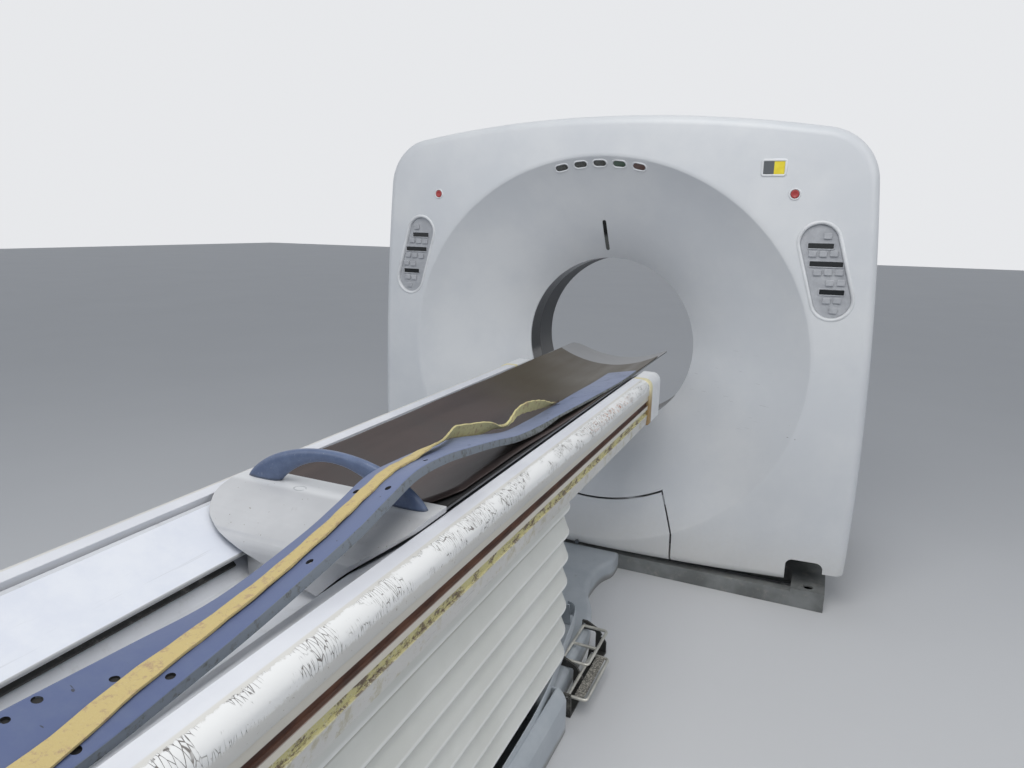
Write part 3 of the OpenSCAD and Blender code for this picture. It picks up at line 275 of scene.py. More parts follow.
# %% Finishes and their patterns
class Finish:
    """A procedural material on a Principled shader."""

    def __init__(self, name, colour=(0.5, 0.5, 0.5), rough=0.5, metal=0.0, **shader):
        self.material = bpy.data.materials.new(name)
        self.material.use_nodes = True
        self.tree = self.material.node_tree
        self.shader = self.tree.nodes["Principled BSDF"]
        self.shader.inputs["Base Color"].default_value = (*colour, 1.0)
        self.shader.inputs["Roughness"].default_value = rough
        self.shader.inputs["Metallic"].default_value = metal
        for socket, value in shader.items():
            self.shader.inputs[socket.replace("_", " ").title()].default_value = value
        self.place = self.node("ShaderNodeTexCoord", {}, {}, "Object")
        self.material.diffuse_color = (*colour, 1.0)

    def node(self, kind, settings, inputs, out=0):
        """Adds any node: its settings first, then the values or links of its sockets."""
        step = self.tree.nodes.new(kind)
        for setting, value in settings.items():
            setattr(step, setting, value)
        for socket, value in inputs.items():
            if isinstance(value, Wire):
                self.tree.links.new(value.socket, step.inputs[socket])
            elif isinstance(value, tuple) and len(value) == 3 and step.inputs[socket].type == "RGBA":
                step.inputs[socket].default_value = (*value, 1.0)
            else:
                step.inputs[socket].default_value = value
        return Wire(self.tree, step.outputs[out])

    def feed(self, **sockets):
        """Links values to the shader's sockets."""
        for socket, value in sockets.items():
            self.tree.links.new(value.socket, self.shader.inputs[socket.replace("_", " ").title()])
        return self

    def axes(self):
        """The point's x, y and z."""
        split = self.tree.nodes.new("ShaderNodeSeparateXYZ")
        self.tree.links.new(self.place.socket, split.inputs[0])
        return [Wire(self.tree, output) for output in split.outputs]

    def stretched(self, scale):
        """Object coordinates, multiplied by three scales if they are given."""
        return self.node("ShaderNodeMapping", {}, {"Vector": self.place, "Scale": scale}) if scale else self.place

    def noise(self, scale, detail=3.0, rough=0.55, stretch=None):
        return self.node("ShaderNodeTexNoise", {}, {"Vector": self.stretched(stretch), "Scale": scale,
                                                    "Detail": detail, "Roughness": rough})

    def patches(self, low, high, *noise):
        """Patches of a noise: 0 where it is below low, 1 where it is above high."""
        return self.ease(self.noise(*noise), low, high)

    def cells(self, scale, stretch=None, feature="F1"):
        return self.node("ShaderNodeTexVoronoi", {"feature": feature},
                         {"Vector": self.stretched(stretch), "Scale": scale})

    def ease(self, value, low, high):
        """0 below low, 1 above high, eased between; low may be above high."""
        return self.node("ShaderNodeMapRange", {"interpolation_type": "SMOOTHSTEP"},
                         {"Value": value, "From Min": low, "From Max": high})

    def mix(self, mask, first, second):
        """The first colour where the mask is 0, the second where it is 1."""
        return self.node("ShaderNodeMix", {"data_type": "RGBA"}, {0: mask, 6: first, 7: second}, 2)

    def layers(self, shade, *coats):
        """Lays colours over a shade, each as a mask and a colour."""
        for mask, colour in coats:
            shade = self.mix(mask, shade, colour)
        return shade

    def bump(self, height, depth, strength=1.0):
        """Turns a height of 0 to 1 into a normal; depth is that height in metres."""
        return self.node("ShaderNodeBump", {}, {"Height": height, "Distance": depth, "Strength": strength})


# %% Everyday finish
def everyday(name, colour, rough, metal=0.0, grain=300.0, depth=0.0002, spread=0.12, dust=None, **shader):
    """A finish with uneven colour and sheen, and a fine grain, for painted, cast or turned pieces."""
    finish = Finish(name, colour, rough, metal, **shader)
    broad = finish.noise(9.0, 4.0)
    fine = finish.noise(grain, 3.0)
    dark = tuple(part * (1.0 - spread) for part in colour)
    light = tuple(min(part * (1.0 + spread * 0.7), 1.0) for part in colour)
    shade = finish.mix(finish.ease(broad, 0.3, 0.7), dark, light)
    if dust:
        shade = finish.mix(finish.patches(0.52, 0.8, 23.0, 6.0, 0.7) * 0.6, shade, dust)
    finish.feed(base_color=shade, roughness=rough + (broad - 0.5) * 0.2 + (fine - 0.5) * 0.1,
                normal=finish.bump(fine, depth))
    return finish


# %% [markdown]
# ## Floor and light
# A pale plain floor runs up into a pale world. Light Path keeps the background white for the camera and for
# reflections without throwing more light on the covers. One broad soft lamp hangs over the couch, as the
# room's ceiling lights do, and two weaker ones fill in from the left and from the right.

# %% Floor
bpy.ops.object.select_all(action="DESELECT")
FLOOR_SIZE = 60.0
bpy.ops.mesh.primitive_plane_add(size=FLOOR_SIZE, location=(0.0, 0.0, -0.001))
floor = named("studio_floor")
floor_finish = Finish("pale floor", (0.62, 0.63, 0.65), 0.7)
floor_finish.feed(base_color=floor_finish.mix(floor_finish.noise(0.9, 4.0), (0.60, 0.61, 0.63), (0.65, 0.66, 0.68)))
floor.data.materials.append(floor_finish.material)
print("floor", FLOOR_SIZE, "m wide")

# %% Pale world
world = bpy.data.worlds.new("studio")
bpy.context.scene.world = world
world.use_nodes = True
air = world.node_tree
ambient = air.nodes["Background"]
ambient.inputs["Color"].default_value = (0.86, 0.92, 1.0, 1.0)
ambient.inputs["Strength"].default_value = 0.34
seen = air.nodes.new("ShaderNodeBackground")
seen.inputs["Color"].default_value = (0.80, 0.81, 0.83, 1.0)
seen.inputs["Strength"].default_value = 1.0
path = air.nodes.new("ShaderNodeLightPath")
to_camera, glossy, clear = (Wire(air, path.outputs["Is " + kind + " Ray"])
                            for kind in ("Camera", "Glossy", "Transmission"))
either = to_camera.maths("MAXIMUM", to_camera, glossy.maths("MAXIMUM", glossy, clear))
blend = air.nodes.new("ShaderNodeMixShader")
air.links.new(either.socket, blend.inputs[0])
air.links.new(ambient.outputs[0], blend.inputs[1])
air.links.new(seen.outputs[0], blend.inputs[2])
air.links.new(blend.outputs[0], air.nodes["World Output"].inputs["Surface"])
print("world with", len(air.nodes), "nodes")

# %% Lamps
LAMP_ROWS = (  # name, place, aim, width in metres, power in watts, tint
    ("ceiling_lamp", (0.5, -2.6, 3.6), (0.0, -0.8, 0.6), 2.6, 66.0, (1.0, 0.98, 0.95)),
    ("fill_lamp", (-2.6, -4.4, 2.4), (0.0, -0.6, 0.8), 2.4, 22.0, (0.93, 0.96, 1.0)),
    ("right_lamp", (3.4, -1.6, 2.4), (0.6, -1.2, 0.6), 1.8, 19.0, (1.0, 0.99, 0.97)))
for name, place, aim, size, power, tint in LAMP_ROWS:
    bpy.ops.object.light_add(type="AREA", location=place)
    lamp = bpy.context.object
    lamp.name = name
    lamp.rotation_euler = (Vector(aim) - Vector(place)).to_track_quat("-Z", "Y").to_euler()
    lamp.data.shape = "DISK"
    lamp.data.size = size
    lamp.data.energy = power
    lamp.data.color = tint
bpy.context.scene.view_settings.view_transform = "Standard"
print(len(LAMP_ROWS), "soft lamps")

# %% [markdown]
# ## The gantry's surfaces as formulas
# The outline seen from the front is made of big arcs: nearly straight sides, a flat crown and a flat sill,
# with small round corners. Inside it an elliptical crease leads into the dish, which falls to the round bore.
# Writing these as functions lets every cover, gap and window sit exactly on the same surface.

# %% Driving sizes, in metres
ISO = 0.914
BORE = 0.36
HALF_WIDTH = 1.010
CROWN_RISE = 0.888
FRONT = -0.320
REAR = 0.520
IN_FRONT = FRONT - 0.100
WALL = 0.006
EDGE = 0.035
BOW = 40e-3
COVER_SPLIT, REAR_SPLIT = -0.150, 0.352
WINDOW_FRONT, WINDOW_REAR, LINER_REAR = -0.062, 0.040, 0.190
DISH_DEPTH = -FRONT + WINDOW_FRONT - 0.008
CREASE_HALF_WIDTH, CREASE_HALF_HEIGHT, CREASE_LOW = 0.812, 0.769, 23.0 / 769.0
STAND_INNER = HALF_WIDTH - 0.180
STAND_OUTER = STAND_INNER + 0.100
NOTCH_TOP = -0.724
SIDE_ARC, CROWN_ARC, SILL_ARC = 10.3, 5.15, 19.0
TOP_CORNER, SILL_CORNER = 0.197, 0.060
WIDEST, SILL_DROP = -0.414, 0.834
print("gantry", 2 * HALF_WIDTH, "m wide, its bore", 2 * BORE, "m")

# %% Arcs of the outline
side_centre = np.array([HALF_WIDTH - SIDE_ARC, WIDEST])
crown_centre = np.array([0.0, CROWN_RISE - CROWN_ARC])
sill_centre = np.array([0.0, SILL_ARC - SILL_DROP])


def crossing(first, first_radius, second, second_radius, side):
    """Where two circles cross, on the side given by the sign."""
    apart = np.linalg.norm(second - first)
    toward = (second - first) / apart
    along = (first_radius ** 2 - second_radius ** 2 + apart ** 2) / (2 * apart)
    return (first + along * toward
            + side * math.sqrt(first_radius ** 2 - along ** 2) * np.array([-toward[1], toward[0]]))


top_centre = crossing(crown_centre, CROWN_ARC - TOP_CORNER, side_centre, SIDE_ARC - TOP_CORNER, -1)
foot_centre = crossing(sill_centre, SILL_ARC - SILL_CORNER, side_centre, SIDE_ARC - SILL_CORNER, 1)
print("top corner centre", top_centre.round(3), "foot corner centre", foot_centre.round(3))


def bearing(point):
    return math.degrees(math.atan2(point[1], point[0]))


def blend_point(centre, radius, big_centre):
    away = centre - big_centre
    return centre + radius * away / np.linalg.norm(away)


def outline_reach(angle, inset):
    """Distance from the bore's middle to the outline, moved in by inset."""
    way = np.array([abs(math.cos(angle)), math.sin(angle)])
    level = bearing(way)
    arcs = ((bearing(blend_point(top_centre, TOP_CORNER - inset, crown_centre)), crown_centre, CROWN_ARC),
            (bearing(blend_point(top_centre, TOP_CORNER - inset, side_centre)), top_centre, TOP_CORNER),
            (bearing(blend_point(foot_centre, SILL_CORNER - inset, side_centre)), side_centre, SIDE_ARC),
            (bearing(blend_point(foot_centre, SILL_CORNER - inset, sill_centre)), foot_centre, SILL_CORNER),
            (-91.0, sill_centre, SILL_ARC))
    centre, radius = next((c, r - inset) for low, c, r in arcs if level > low)
    along = float(np.dot(centre, way))
    return along + math.sqrt(along ** 2 - float(np.dot(centre, centre)) + radius ** 2)


# %% Face, crease and dish
def face_y(x):
    """The front face, bowed a little in plan."""
    return BOW * x * x + FRONT


def crease_reach(angle):
    """Distance from the bore's middle to the elliptical crease."""
    c, s = math.cos(angle) / CREASE_HALF_WIDTH, math.sin(angle) / CREASE_HALF_HEIGHT
    a, b = c * c + s * s, s * CREASE_LOW
    return (-b + math.sqrt(b * b - a * (CREASE_LOW * CREASE_LOW - 1))) / a


def dish_fall(share):
    """How far the dish has fallen, from 0 at its rim to 1 at the bore."""
    return 1.25 * share - 0.75 * share ** 2 + 0.5 * share ** 3


def dish_y(angle, share):
    start = face_y(crease_reach(angle) * math.cos(angle))
    return start + (DISH_DEPTH + FRONT - start) * dish_fall(share)


def dish_point(angle, share, behind=0.0):
    """A point of the dish; share runs from the crease to the bore, behind is measured into the wall."""
    reach = crease_reach(angle) + (BORE - crease_reach(angle)) * share
    return (reach * math.cos(angle), dish_y(angle, share) + behind, ISO + reach * math.sin(angle))


def dish_share(x, z):
    crease = crease_reach(math.atan2(z, x))
    return (crease - math.hypot(x, z)) / (crease - BORE)


def dish_at(x, z):
    """Depth of the dish behind a point of the front view, measured from the bore's middle."""
    return dish_y(math.atan2(z, x), dish_share(x, z))


# %% Rings round the covers
def turns():
    """Angles round the outline, closer together round its corners."""
    breaks = [-90.0,
              bearing(blend_point(foot_centre, SILL_CORNER, sill_centre)),
              bearing(blend_point(foot_centre, SILL_CORNER, side_centre)),
              bearing(blend_point(top_centre, TOP_CORNER, side_centre)),
              bearing(blend_point(top_centre, TOP_CORNER, crown_centre)), 90.0]
    counts = [36, 12, 52, 24, 36]
    right = [low + (high - low) * i / n for low, high, n in zip(breaks, breaks[1:], counts) for i in range(n)]
    return [math.radians(a) for a in right + [90.0] + [180.0 - a for a in right[:0:-1]]]


around = turns()


def outline_ring(inset, y, bowed=0.0):
    ring = []
    for angle in around:
        reach = outline_reach(angle, inset)
        x = reach * math.cos(angle)
        ring.append((x, y + bowed * x * x, ISO + reach * math.sin(angle)))
    return ring


def face_ring(share):
    """On the front face, from the edge's roll at 0 to the crease at 1."""
    ring = []
    for angle in around:
        outer = outline_reach(angle, EDGE)
        reach = outer + (crease_reach(angle) + 0.006 - outer) * share
        ring.append((reach * math.cos(angle), face_y(reach * math.cos(angle)), ISO + reach * math.sin(angle)))
    return ring


def dish_ring(share, behind=0.0):
    return [dish_point(angle, share, behind) for angle in around]


def round_ring(radius, y):
    return [(radius * math.cos(a), y, ISO + radius * math.sin(a)) for a in around]


print(len(around), "corners round the covers")

# %% [markdown]
# ## Finishes of the inner works
# Behind the covers are painted frames, cast housings, machined rings and rubber. Each gets an uneven colour, a
# sheen that wanders and a fine grain, in the tone such parts have, and a little dust where it settles.

# %% Painted, cast and machined finishes
DUST = (0.40, 0.38, 0.34)
finishes = {
    "frame_steel": everyday("grey frame paint", (0.24, 0.26, 0.28), 0.5, 0.1, 420.0, 0.00015, dust=DUST),
    "base_steel": everyday("scuffed base paint", (0.19, 0.20, 0.20), 0.6, 0.1, 160.0, 0.0005, 0.3, dust=DUST),
    "bare_steel": everyday("machined steel", (0.55, 0.56, 0.57), 0.3, 1.0, 700.0, 0.00005, 0.1),
    "motor_grey": everyday("dark motor paint", (0.07, 0.08, 0.09), 0.45, 0.0, 350.0, 0.0002, dust=DUST),
    "belt_rubber": everyday("ribbed belt rubber", (0.025, 0.025, 0.025), 0.7, 0.0, 500.0, 0.0002),
    "tube_alloy": everyday("cast alloy", (0.58, 0.59, 0.60), 0.42, 1.0, 260.0, 0.0003),
    "box_enamel": everyday("sheet steel enamel", (0.46, 0.46, 0.42), 0.4, 0.0, 300.0, 0.0001),
    "ring_brass": everyday("polished ring tracks", (0.70, 0.47, 0.17), 0.25, 1.0, 600.0, 0.00004),
    "liner_grey": everyday("dark grey liner", (0.055, 0.058, 0.062), 0.42, 0.0, 500.0, 0.0001),
    "window_black": everyday("black window ring", (0.018, 0.020, 0.022), 0.16, 0.0, 90.0, 0.00002, 0.2),
    "panel_grey": everyday("satin panel grey", (0.50, 0.52, 0.55), 0.42, 0.0, 600.0, 0.00006),
    "key_white": everyday("pale key rubber", (0.66, 0.68, 0.70), 0.55, 0.0, 500.0, 0.0001),
    "display_dark": everyday("dark display glass", (0.012, 0.014, 0.016), 0.12, 0.0, 60.0, 0.00001),
    "lamp_lens": everyday("smoked lens", (0.21, 0.23, 0.22), 0.2, 0.0, 500.0, 0.0001, coat_weight=0.6),
    "status_yellow": everyday("yellow window", (0.80, 0.66, 0.03), 0.3, 0.0, 300.0, 0.00003),
    "stop_red": everyday("red button", (0.36, 0.045, 0.045), 0.32, 0.0, 300.0, 0.00004),
    "bracket_black": everyday("black bracket paint, also board shadow strip", (0.035, 0.035, 0.033), 0.5, 0.2, 300.0, 0.0003, dust=DUST),
    "roller_black": everyday("roller rubber", (0.03, 0.03, 0.03), 0.6, 0.0, 400.0, 0.0002),
    "table_shell": everyday("grey table shell", (0.27, 0.28, 0.30), 0.4, 0.0, 300.0, 0.0001),
    "pedal_wire": everyday("dulled plated rod", (0.60, 0.59, 0.54), 0.38, 0.6, 500.0, 0.0002, 0.25,
                           dust=(0.2, 0.17, 0.12)),
}
print(len(finishes), "finishes")

# %% [markdown]
# ## Painted covers
# The gantry's covers are moulded and painted a cool grey-white, half gloss, with the faint orange peel of
# sprayed paint. Years of use leave a slightly darker, yellowed foot where the floor is washed, a few chips on the
# crease beside the right panel, and fine scratches across the face under the status window.

# %% Cover paint
COVER_WHITE = (0.66, 0.685, 0.715)


def cover_paint(name):
    finish = Finish(name, COVER_WHITE, 0.36, coat_weight=0.0)
    x, y, z = finish.axes()
    cloud = finish.noise(3.1, 5.0, 0.6)
    speck = finish.noise(60.0, 4.0, 0.7)
    shade = finish.mix(finish.ease(cloud, 0.35, 0.7), (0.625, 0.65, 0.685), (0.685, 0.705, 0.73))
    low = finish.ease(z + (speck - 0.5) * 0.12, 0.34, 0.04)
    shade = finish.mix(low * 0.35, shade, (0.50, 0.46, 0.38))

    def around_spot(spot_x, spot_z, low, high):
        return finish.ease((x - spot_x) * (x - spot_x) + (z - spot_z) * (z - spot_z), low, high)

    chip_band = around_spot(0.700, 0.79, 0.034, 0.024) * finish.ease(y, -0.275, -0.285)
    chips = finish.patches(0.685, 0.70, 48.0, 3.0, 0.8) * chip_band
    hair = finish.patches(0.70, 0.72, 20.0, 2.0, 0.5, (0.6, 1.0, 9.0)) * around_spot(0.50, 0.80, 0.05, 0.02)
    shade = finish.layers(shade, (chips, (0.055, 0.045, 0.04)), (hair * 0.4, (0.36, 0.37, 0.38)))
    finish.feed(base_color=shade, roughness=0.34 + cloud * 0.12 + low * 0.12,
                normal=finish.bump(finish.noise(420.0, 2.0), 0.00012))
    return finish


finishes["cover_white"] = cover_paint("cover paint")

# %% [markdown]
# ## Other moulded finishes
# The couch mixes a satin grey foot cover, a steel blue handle, a brown vinyl mat, the blue trim that has come
# off the rail with its yellow foam tape, and cream bellows. Each gets its plain tone here, so that every piece of
# the working model has one; the worn finishes are made further down, beside the pieces that wear them.

# %% Couch finishes
finishes.update({
    "deck_white": everyday("white laminate", (0.68, 0.71, 0.77), 0.3, 0.0, 500.0, 0.00005, 0.05),
    "rail_paint": everyday("rail paint", (0.66, 0.66, 0.64), 0.45, 0.0, 200.0, 0.0002, 0.08),
    "wedge_grey": everyday("grey foot cover", (0.52, 0.54, 0.58), 0.4, 0.0, 700.0, 0.0001, 0.05),
    "handle_blue": everyday("steel blue handle", (0.10, 0.145, 0.225), 0.42, 0.0, 700.0, 0.0001, 0.08),
    "mat_brown": everyday("brown vinyl", (0.060, 0.040, 0.036), 0.42, 0.0, 350.0, 0.0004, 0.2),
    "trim_blue": everyday("blue trim", (0.19, 0.235, 0.37), 0.42, 0.0, 500.0, 0.0001, 0.08),
    "tape_yellow": everyday("yellow foam tape", (0.50, 0.38, 0.16), 0.75, 0.0, 200.0, 0.0006, 0.3),
    "bellows_white": everyday("cream bellows", (0.66, 0.665, 0.61), 0.45, 0.0, 400.0, 0.0001, 0.05),
    "floor_cover_blue": everyday("pale blue floor cover", (0.40, 0.435, 0.475), 0.42, 0.0, 500.0, 0.0001, 0.08,
                                 dust=(0.30, 0.31, 0.31)),
})

for row in frame["record"]["subparts"]:
    piece = nodes[row["node"]]
    piece.data.materials.clear()
    piece.data.materials.append(finishes[row["material_slot"]].material)
print("every piece of the model has a finish")

# %% [markdown]
# ## Front cover
# The front cover is one big moulding: a bowed face with a rolled edge, a crease, and the dish. It is pulled over
# rings that follow the formulas, out and back in behind the wall, then the openings are cut through it.

# %% Front cover's skin
EDGE_ROLL = [math.radians(11.25 * i) for i in range(9)]
SERVICE_REACH, SERVICE_TOP_X, SERVICE_TOP_Z, SERVICE_FOOT_X, SERVICE_FOOT_Z = 0.645, 0.292, 0.540, 0.369, 0.709


def front_rings():
    shares = [0.0, 0.006, 0.015, 0.03, 0.05] + [0.05 + 0.95 * i / 26 for i in range(1, 27)]
    outside = [outline_ring(0.0, COVER_SPLIT)]
    outside += [outline_ring(EDGE * (1 - math.cos(w)), EDGE * (1 - math.sin(w)) + FRONT, BOW) for w in EDGE_ROLL]
    outside += [face_ring(share) for share in (0.3, 0.6, 0.85, 0.96, 1.0)]
    outside += [dish_ring(share, 0.0012 if share == 0.0 else 0.0) for share in shares]
    outside += [round_ring(BORE, WINDOW_FRONT)]
    inside = [round_ring(BORE + WALL, WINDOW_FRONT)]
    inside += [dish_ring(share, WALL * 1.25) for share in (0.88, 0.6, 0.28, 0.0)]
    inside += [outline_ring(EDGE, WALL + FRONT, BOW), outline_ring(EDGE / 2, WALL + EDGE / 5 + FRONT, BOW),
               outline_ring(WALL, EDGE + FRONT, BOW), outline_ring(WALL, COVER_SPLIT)]
    return outside + inside


# %% Outlines and cutters
def arc_points(centre, radius, start, stop, steps):
    return [(centre[0] + radius * math.cos(math.radians(start + (stop - start) * i / steps)),
             centre[1] + radius * math.sin(math.radians(start + (stop - start) * i / steps)))
            for i in range(steps + 1)]


def stadium(first, second, radius, steps=20):
    """Outline of a slot between two points."""
    lean = math.degrees(math.atan2(second[1] - first[1], second[0] - first[0]))
    return (arc_points(second, radius, lean - 90, lean + 90, steps)
            + arc_points(first, radius, lean + 90, lean + 270, steps))


def through_y(outline, far=0.0):
    """A cutter that runs along Y, from an outline in (x, height from the bore's middle)."""
    return extrude_outline("cutter", outline, (0, far - IN_FRONT, 0), lambda p: (p[0], IN_FRONT, ISO + p[1]))


def service_outline(grow):
    """The service panel's outline in the lower dish: straight sides under a round top."""
    reach = SERVICE_REACH - grow
    slope = (SERVICE_FOOT_X - SERVICE_TOP_X) / (SERVICE_FOOT_Z - SERVICE_TOP_Z)
    top = next(z for z in np.arange(-SERVICE_TOP_Z, -SERVICE_FOOT_Z, -0.0005)
               if math.hypot(SERVICE_TOP_X + grow - slope * (z + SERVICE_TOP_Z), z) > reach)
    corner = SERVICE_TOP_X + grow - slope * (top + SERVICE_TOP_Z)
    last = math.asin(corner / reach)
    arc = [(reach * math.sin(a), -reach * math.cos(a)) for a in np.linspace(last, -last, 61)]
    half, low_half = SERVICE_FOOT_X + grow, 0.373 + grow
    return [(-half, -SERVICE_FOOT_Z), (-low_half, -0.900), (low_half, -0.900), (half, -SERVICE_FOOT_Z)] + arc


# %% Front cover and service panel
front_cover = pull_rings("front_cover_skin", front_rings(), closed=True, smooth=40)
service_panel = twin(front_cover, "service_door")
print("skin of", len(front_cover.data.polygons), "faces")

# %% [markdown]
# ### Openings of the front cover
# The openings are the leaning control panels, two stop buttons, the status window, five lamps over the bore, the
# laser slot, the notches for the stands, and the gap round the service panel. All cutters that don't touch are
# joined, so the cover is cut twice only.

# %% Cutting the front cover
GAP = 0.008
PANEL_TOP = np.array([HALF_WIDTH - 0.217, 0.448])
PANEL_BOTTOM = np.array([HALF_WIDTH - 0.157, 0.252])
PANEL_RADIUS = 0.066
STOP_PLACE = (HALF_WIDTH - 0.311, 0.607)
STATUS_PLACE = (HALF_WIDTH - 0.386, 0.694)
STATUS_HALF = (0.034, 0.021)
CREASE_TOP = crease_reach(math.pi / 2)
LAMPS = [(-0.152, -0.042), (-0.076, -0.031), (0.0, -0.027), (0.076, -0.031), (0.152, -0.042)]
LAMP_HALF = 0.012
LASER_X, LASER_NEAR, LASER_FAR, LASER_HALF = -0.012, 0.512, 0.391, 0.008
FIT, BEHIND_FACE = 0.0006, -0.25


def rectangle(x0, x1, z0, z1):
    return [(x0, z0), (x1, z0), (x1, z1), (x0, z1)]


def notch_outline(side):
    x0, x1, r = STAND_INNER - 0.028, STAND_OUTER + 0.002, 0.025
    points = ([(x0, -1.0), (x1, -1.0)] + arc_points((x1 - r, NOTCH_TOP - r), r, 0, 90, 6)
              + arc_points((x0 + r, NOTCH_TOP - r), r, 90, 180, 6))
    return [(side * x, z) for x, z in points]


cutters = [through_y(notch_outline(side), 0.1) for side in (1, -1)]
stand_corner = rectangle(STAND_OUTER - 0.020, HALF_WIDTH + 0.02, -1.0, -0.764)
cutters += [through_y([(side * x, z) for x, z in stand_corner], 0.1) for side in (1, -1)]
for cutter in cutters:
    cut(front_cover, cutter)

cutters = []
for side in (1, -1):
    cutters.append(through_y(stadium((side * PANEL_TOP[0], PANEL_TOP[1]), (side * PANEL_BOTTOM[0], PANEL_BOTTOM[1]),
                                     PANEL_RADIUS + FIT, 28), BEHIND_FACE))
    cutters.append(through_y(arc_points((side * STOP_PLACE[0], STOP_PLACE[1]), 0.0145, 0, 352, 44), BEHIND_FACE))
(status_x, status_z), (half_u, half_w) = STATUS_PLACE, STATUS_HALF
cutters.append(through_y(rectangle(status_x - half_u - FIT, status_x + half_u + FIT,
                                   status_z - half_w - FIT, status_z + half_w + FIT), BEHIND_FACE))
for x, z in LAMPS:
    ends = (x - LAMP_HALF, CREASE_TOP + z), (x + LAMP_HALF, CREASE_TOP + z)
    cutters.append(through_y(stadium(*ends, 0.0125, 14), -0.22))
cutters.append(through_y(stadium((LASER_X, LASER_FAR + LASER_HALF), (LASER_X, LASER_NEAR - LASER_HALF), LASER_HALF)))
outer, inner = service_outline(GAP / 2), service_outline(-GAP / 2)
cutters.append(through_y(outer, 0.02))
cut(front_cover, joined(cutters, "cutters"))
cut(service_panel, through_y(inner, COVER_SPLIT + 0.1), "INTERSECT")
for piece in (front_cover, service_panel):
    smooth_by(piece, 40)
print("front cover", len(front_cover.data.polygons), "faces, service panel", len(service_panel.data.polygons))
settle(front_cover, "gantry", finishes["cover_white"], "front_cover", slot="cover_white")
settle(service_panel, "gantry", finishes["cover_white"], "service_panel", slot="cover_white")

# %% [markdown]
# ## Paths and sections
# The side trim, the foam tape and the handle are sections carried along a smooth path. The path runs through a
# few stations, each a row of numbers, and every number between them follows a cubic curve.


# %% Smooth path
def smooth_path(stations, steps):
    """A Catmull-Rom curve through rows of numbers, with that many steps between two rows."""
    rows = [np.array(row, dtype=float) for row in stations]
    path = []
    for i in range(len(rows) - 1):
        before, first, second, after = rows[max(i - 1, 0)], rows[i], rows[i + 1], rows[min(i + 2, len(rows) - 1)]
        for k in range(steps):
            t = k / steps
            path.append(0.5 * (2 * first + (second - before) * t
                               + (2 * before - 5 * first + 4 * second - after) * t * t
                               + (3 * first - before - 3 * second + after) * t ** 3))
    return path + [rows[-1]]


def carried(section, middle, lean):
    """A section of (across, up) points, leaning by lean degrees about the path's middle (x, y, z)."""
    c, s = math.cos(math.radians(lean)), math.sin(math.radians(lean))
    return [(middle[0] + a * c - h * s, middle[1], middle[2] + a * s + h * c) for a, h in section]


def pull_open(name, rings, smooth=40):
    """A solid through sections with flat ends."""
    return pull_rings(name, rings, capped=True, smooth=smooth)


# %% [markdown]
# ## Side trim
# The blue trim has come off the right rail and lies twisted over the couch. It is a shallow channel, 110 mm wide,
# with rounded top edges, deeper lips where it hangs free, and screw holes along both sides of the tape. It bends and
# twists but keeps its profile, so one section carried along the path gives it without any bend modifier.

# %% Trim
TRIM_PATH = [(-2.720, 0.166, 0.897, -20), (-2.582, 0.160, 0.887, -17), (-2.437, 0.147, 0.880, -4),
             (-2.289, 0.147, 0.886, 10), (-2.131, 0.160, 0.921, 14), (-2.044, 0.164, 0.945, 15),
             (-1.951, 0.163, 0.966, 14), (-1.843, 0.160, 0.963, 13), (-1.720, 0.150, 0.946, 9),
             (-1.587, 0.142, 0.925, 6), (-1.447, 0.136, 0.896, 8), (-1.298, 0.134, 0.873, 17),
             (-1.138, 0.136, 0.866, 18), (-0.972, 0.146, 0.867, 15), (-0.802, 0.160, 0.872, 12),
             (-0.628, 0.168, 0.8725, 11), (-0.440, 0.168, 0.8725, 11)]


def trim_section(y):
    lip = -0.008 - 0.009 * min(1.0, max(0.0, (-1.150 - y) / 0.150))
    return [(-0.055, lip), (-0.051, lip), (-0.051, -0.005), (0.051, -0.005), (0.051, lip), (0.055, lip),
            (0.055, -0.003), (0.0545, -0.0012), (0.053, -0.0003), (0.051, 0), (0, 0), (-0.051, 0),
            (-0.053, -0.0003), (-0.0545, -0.0012), (-0.055, -0.003)]


trim_stations = smooth_path(TRIM_PATH, 6)


def on_trim(y, across, up=0.0):
    """A point on the trim's top, and its lean, at a place along the couch."""
    row = min(trim_stations, key=lambda station: abs(station[0] - y))
    return Vector(carried([(across, up)], (row[1], y, row[2]), row[3])[0]), row[3]


trim = pull_open("side_trim", [carried(trim_section(row[0]), (row[1], row[0], row[2]), row[3])
                               for row in trim_stations], smooth=32)
SCREW_HOLES = [(-2.589, -0.040, 0.005), (-2.553, -0.044, 0.006), (-2.481, -0.012, 0.006), (-2.444, 0.038, 0.006),
               (-2.568, 0.040, 0.006), (-2.198, 0.034, 0.006), (-2.010, -0.034, 0.006), (-2.008, 0.034, 0.006),
               (-1.883, 0.034, 0.005), (-1.690, 0.036, 0.004), (-1.180, 0.030, 0.004), (-0.960, -0.034, 0.004)]
drills, spots = [], []
for y, across, radius in SCREW_HOLES:
    spot, lean = on_trim(y, across)
    bpy.ops.object.select_all(action="DESELECT")
    bpy.ops.mesh.primitive_cylinder_add(vertices=20, radius=radius, depth=0.008, location=spot,
                                        rotation=(0, -math.radians(lean), 0))
    drills.append(named("drill"))
    spots.append((spot, radius))
for drill in drills:
    alone(drill)
    bpy.ops.object.transform_apply(location=True, rotation=True)
cut(trim, joined(drills, "drills"))

print("trim with", len(spots), "screw holes")

